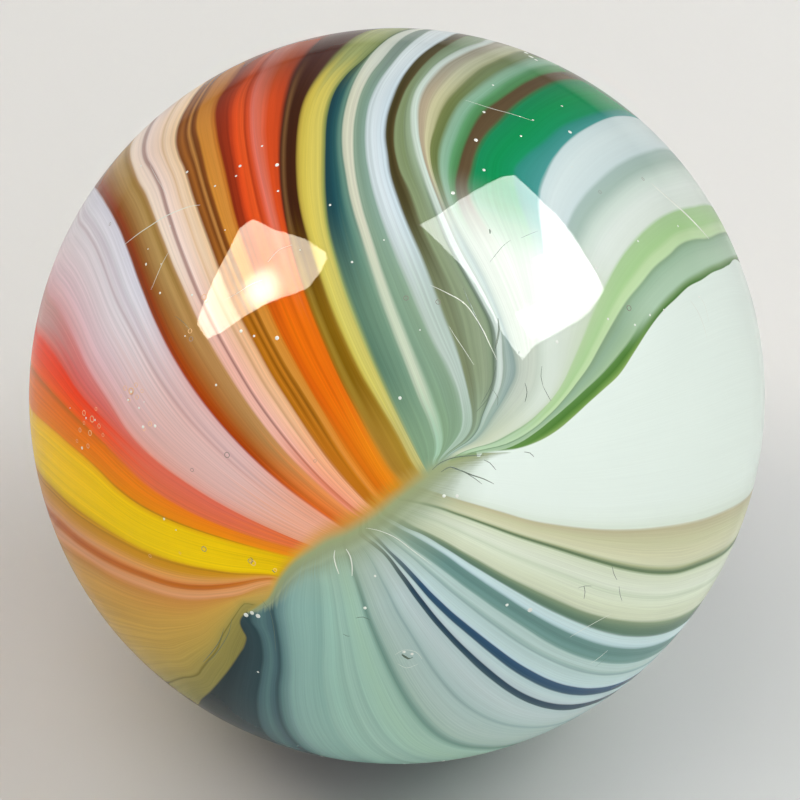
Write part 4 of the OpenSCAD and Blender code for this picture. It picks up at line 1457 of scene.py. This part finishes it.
@dataclass
class Bubbles:
    """Small round bubbles at the surface, shown by their rims or as bright specks of painted highlight."""

    name: str
    marks: tuple[Triple, ...]
    finish: MarkFinish
    ring: bool
    strays: int = 0
    seed: int = 11
    # Width of the form as a share of the mark's, and how deep its middle lies
    width_share: float = 0.82
    sunk: float = 0.000002
    # Of a form a unit wide: the radius of a rim's tube, the sides round the rim and round
    # the tube, and a bead's height as a share of its width
    rim_radius: float = 0.08
    rim_sides: tuple[int, int] = (14, 5)
    bead_height: float = 0.25
    # A stray's width in pixels, and how far round from the camera it has to lie
    stray_widths: Pair = (2.0, 5.0)
    stray_side: float = 0.15

    def form(self, graph: Graph) -> Socket:
        """Makes one bubble, a unit wide: a thin ring or a flat bead."""
        if self.ring:
            path, tube = [
                graph.node("GeometryNodeCurvePrimitiveCircle", {"Resolution": sides, "Radius": radius})
                for sides, radius in zip(self.rim_sides, (0.5, self.rim_radius))]
            return graph.node("GeometryNodeCurveToMesh", {
                "Curve": path.outputs["Curve"], "Profile Curve": tube.outputs["Curve"]}).outputs[0]
        bead = graph.node("GeometryNodeMeshIcoSphere", {"Radius": 0.5, "Subdivisions": 2})
        return graph.node("GeometryNodeTransform", {
            "Geometry": bead.outputs["Mesh"], "Scale": (1.0, 1.0, self.bead_height)}).outputs[0]

    def tree(self) -> bpy.types.NodeTree:
        """Builds the node group that sets one small form on every point.

        Returns:
            The node group, with Geometry and Material inputs.
        """
        graph, given = new_rule(f"{self.name}_set", {"Geometry": "Geometry"})
        size = graph.node("GeometryNodeInputNamedAttribute", {"Name": "width"}, data_type="FLOAT")
        turned = graph.node("FunctionNodeAlignRotationToVector", {
            "Vector": graph.node("GeometryNodeInputPosition").outputs[0]}, axis="Z")
        placed = graph.node("GeometryNodeInstanceOnPoints", {
            "Points": given.outputs["Geometry"], "Instance": self.form(graph),
            "Rotation": turned.outputs[0], "Scale": size.outputs[0]})
        return ended_rule(graph, given, placed.outputs[0])

    def build(self) -> bpy.types.Object:
        """Builds the bubbles as one mesh: those that show, and strays on the hidden side.

        Returns:
            The piece.
        """
        units = [seen_at((x, y))[0] for x, y, _ in self.marks]
        sizes = [self.width_share * width * PIXEL for _, _, width in self.marks]
        chance = np.random.default_rng(self.seed)
        front = camera_place() / (BALL_RADIUS * CAMERA_RADII)
        while len(units) < len(self.marks) + self.strays:
            way = chance.normal(size=3)
            way /= np.linalg.norm(way)
            if float(way @ front) < self.stray_side:
                units.append(way)
                sizes.append(float(chance.uniform(*self.stray_widths)) * PIXEL)
        mesh = bpy.data.meshes.new(f"{self.name}_points")
        mesh.from_pydata([tuple(unit * (BALL_RADIUS - self.sunk)) for unit in units], [], [])
        write_values(mesh, "width", sizes)
        return grown(self.name, mesh, self.tree(), {"Material": self.finish.material()})


@dataclass(frozen=True)
class SoftLamp:
    """A large round lamp that points at the ball and that the glass doesn't mirror."""

    name: str
    power: float
    size: float
    place: Triple

    def hang(self) -> None:
        """Hangs the lamp."""
        data = bpy.data.lights.new(self.name, "AREA")
        data.shape = "DISK"
        data.size = self.size
        data.energy = self.power
        lamp = added(self.name, data)
        lamp.location = self.place
        lamp.rotation_euler = (-Vector(self.place)).to_track_quat("-Z", "Y").to_euler()
        lamp.visible_glossy = False


@dataclass(frozen=True)
class Softbox:
    """A glowing card that only shows as a reflection in the glass."""

    name: str
    # Corners of its reflection, in pixels
    outline: tuple[Pair, ...]
    strength: float
    tone: str
    # How much nearer than the others it hangs, as a share
    nearer: float = 0.0
    distance: float = 0.30
    # The bright core: its place and half width in pixels, and its added strength
    core: Pair = (262.0, 288.0)
    core_pixels: float = 26.0
    core_strength: float = 125.0
    # The share of its half width over which the core is even
    core_even: float = 0.15

    def spot(self, pixel: Pair) -> np.ndarray:
        """Finds where a reflection that shows at a pixel comes from.

        Args:
            pixel: Place in the picture.

        Returns:
            Place of the light, in metres.
        """
        hit, ray = seen_at(pixel)
        bounce = ray - 2 * float(ray @ hit) * hit
        return hit * BALL_RADIUS + bounce * self.distance

    def glow(self) -> bpy.types.Material:
        """Builds the card's glow, which is strongest at the bright core.

        Returns:
            The material.
        """
        light, graph = new_material(self.name)
        middle = self.spot(self.core)
        size = float(np.linalg.norm(self.spot((self.core[0] + self.core_pixels, self.core[1])) - middle))
        gap = graph.arrow("DISTANCE", graph.node("ShaderNodeTexCoord").outputs["Object"], plain(middle),
                          result="Value")
        strength = graph.ease(gap, (self.core_even * size, size), self.strength + self.core_strength,
                              self.strength)
        glow = graph.node("ShaderNodeEmission", {"Color": srgb(self.tone), "Strength": strength})
        graph.node("ShaderNodeOutputMaterial", {"Surface": glow.outputs[0]})
        return light

    def hang(self) -> None:
        """Hangs the card."""
        corners = [Vector(self.spot(pixel)) * (1 - self.nearer) for pixel in self.outline]
        faces = tessellate_polygon([[Vector((x, y, 0.0)) for x, y in self.outline]])
        mesh = bpy.data.meshes.new(self.name)
        mesh.from_pydata([tuple(corner) for corner in corners], [], [tuple(face) for face in faces])
        mesh.materials.append(self.glow())
        card = added(self.name, mesh)
        for ray in ("camera", "diffuse", "shadow", "transmission", "volume_scatter"):
            setattr(card, f"visible_{ray}", False)


@dataclass
class Studio:
    """Floor, lamps, world and camera."""

    floor_size: float = 3.0
    floor_colour: tuple[float, float, float, float] = (0.40, 0.40, 0.395, 1.0)
    floor_roughness: float = 0.85
    world_strength: float = 0.42
    sensor_width: float = 36.0
    nearest: float = 0.005
    farthest: float = 20.0
    lights: tuple[SoftLamp | Softbox, ...] = (
        SoftLamp("key", 1.20, 0.34, (-0.12, -0.06, 0.42)),
        SoftLamp("fill", 0.62, 0.40, (0.20, -0.31, 0.18)),
        Softbox("left_softbox", LEFT_GLINT, 70.2, "#fff0d6"),
        Softbox("right_softbox", RIGHT_GLINT, 54.0, "#fbfdfb"),
        Softbox("right_softbox_middle", RIGHT_CORE, 125.0, "#fbfdfb", nearer=0.02),
    )

    def build(self) -> None:
        """Builds the whole studio."""
        self.camera()
        self.world()
        self.floor()
        for light in self.lights:
            light.hang()

    def camera(self) -> None:
        """Places the camera so that the ball fills the picture as in the photograph."""
        data = bpy.data.cameras.new("camera")
        half = PHOTO_WIDTH / 2 / BALL_PIXELS * math.tan(math.asin(1 / CAMERA_RADII))
        data.sensor_width = self.sensor_width
        data.lens = self.sensor_width / 2 / half
        data.shift_x = (PHOTO_WIDTH / 2 - BALL_MIDDLE[0]) / PHOTO_WIDTH
        data.shift_y = (BALL_MIDDLE[1] - PHOTO_WIDTH / 2) / PHOTO_WIDTH
        data.clip_start = self.nearest
        data.clip_end = self.farthest
        camera = added("camera", data)
        camera.location = camera_place()
        camera.rotation_euler = (-Vector(camera_place())).to_track_quat("-Z", "Y").to_euler()
        bpy.context.scene.camera = camera

    def world(self) -> None:
        """Lights the ball evenly from all round."""
        world = bpy.data.worlds.new("studio")
        bpy.context.scene.world = world
        world.use_nodes = True
        world.node_tree.nodes.clear()
        graph = Graph(world.node_tree)
        lit = graph.node("ShaderNodeBackground", {"Strength": self.world_strength})
        graph.node("ShaderNodeOutputWorld", {"Surface": lit.outputs[0]})

    def floor(self) -> None:
        """Lays the pale floor under the ball."""
        mesh = bpy.data.meshes.new("floor")
        half = self.floor_size / 2
        corners = [(x * half, y * half, -BALL_RADIUS) for x, y in ((-1, -1), (1, -1), (1, 1), (-1, 1))]
        mesh.from_pydata(corners, [], [(0, 1, 2, 3)])
        paper, graph = new_material("floor_paper")
        skin = graph.node("ShaderNodeBsdfPrincipled", {
            "Base Color": self.floor_colour, "Roughness": self.floor_roughness})
        graph.node("ShaderNodeOutputMaterial", {"Surface": skin.outputs[0]})
        mesh.materials.append(paper)
        added("floor", mesh)


@dataclass
class Marble:
    """The whole marble."""

    ball: GlassBall
    finish: SwirlGlass
    marks: tuple[DrawnLines | Bubbles, ...]

    def build(self) -> list[bpy.types.Object]:
        """Builds every piece and sets it on the frame.

        Returns:
            The pieces.
        """
        ball = self.ball.build(self.finish.material())
        pieces = [ball, *(mark.build() for mark in self.marks)]
        for piece in pieces:
            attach(piece, "root")
        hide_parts("marble")
        return pieces


def main() -> None:
    """Builds the marble and the studio."""
    logging.basicConfig(level=logging.INFO, format="%(name)s: %(message)s")
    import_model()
    bpy.context.scene.view_settings.view_transform = "Standard"
    Studio().build()
    marks = (
        DrawnLines("pale_scratches", SCRATCHES, MarkFinish("pale_scratch", "#dfe4d8")),
        DrawnLines("dark_folds", FOLDS, MarkFinish("dark_fold", "#5c6c5e")),
        Bubbles("bubble_rims", BUBBLES, MarkFinish("bubble_rim", "#8a8078"), ring=True, strays=6),
        Bubbles("warm_bubble_rims", WARM_BUBBLES, MarkFinish("warm_bubble_rim", "#e8b884"), ring=True),
        # Painted highlight: pale, dull specks where small bubbles catch the light
        Bubbles("bubble_glint_specks", SPECK_GLINTS, MarkFinish("bubble_glint_speck", "#e4e8e0"), ring=False, strays=40,
                seed=5),
    )
    for piece in Marble(GlassBall(), SwirlGlass(), marks).build():
        LOG.info("%s: %d faces", piece.name, len(piece.data.polygons))


if __name__ == "__main__":
    main()
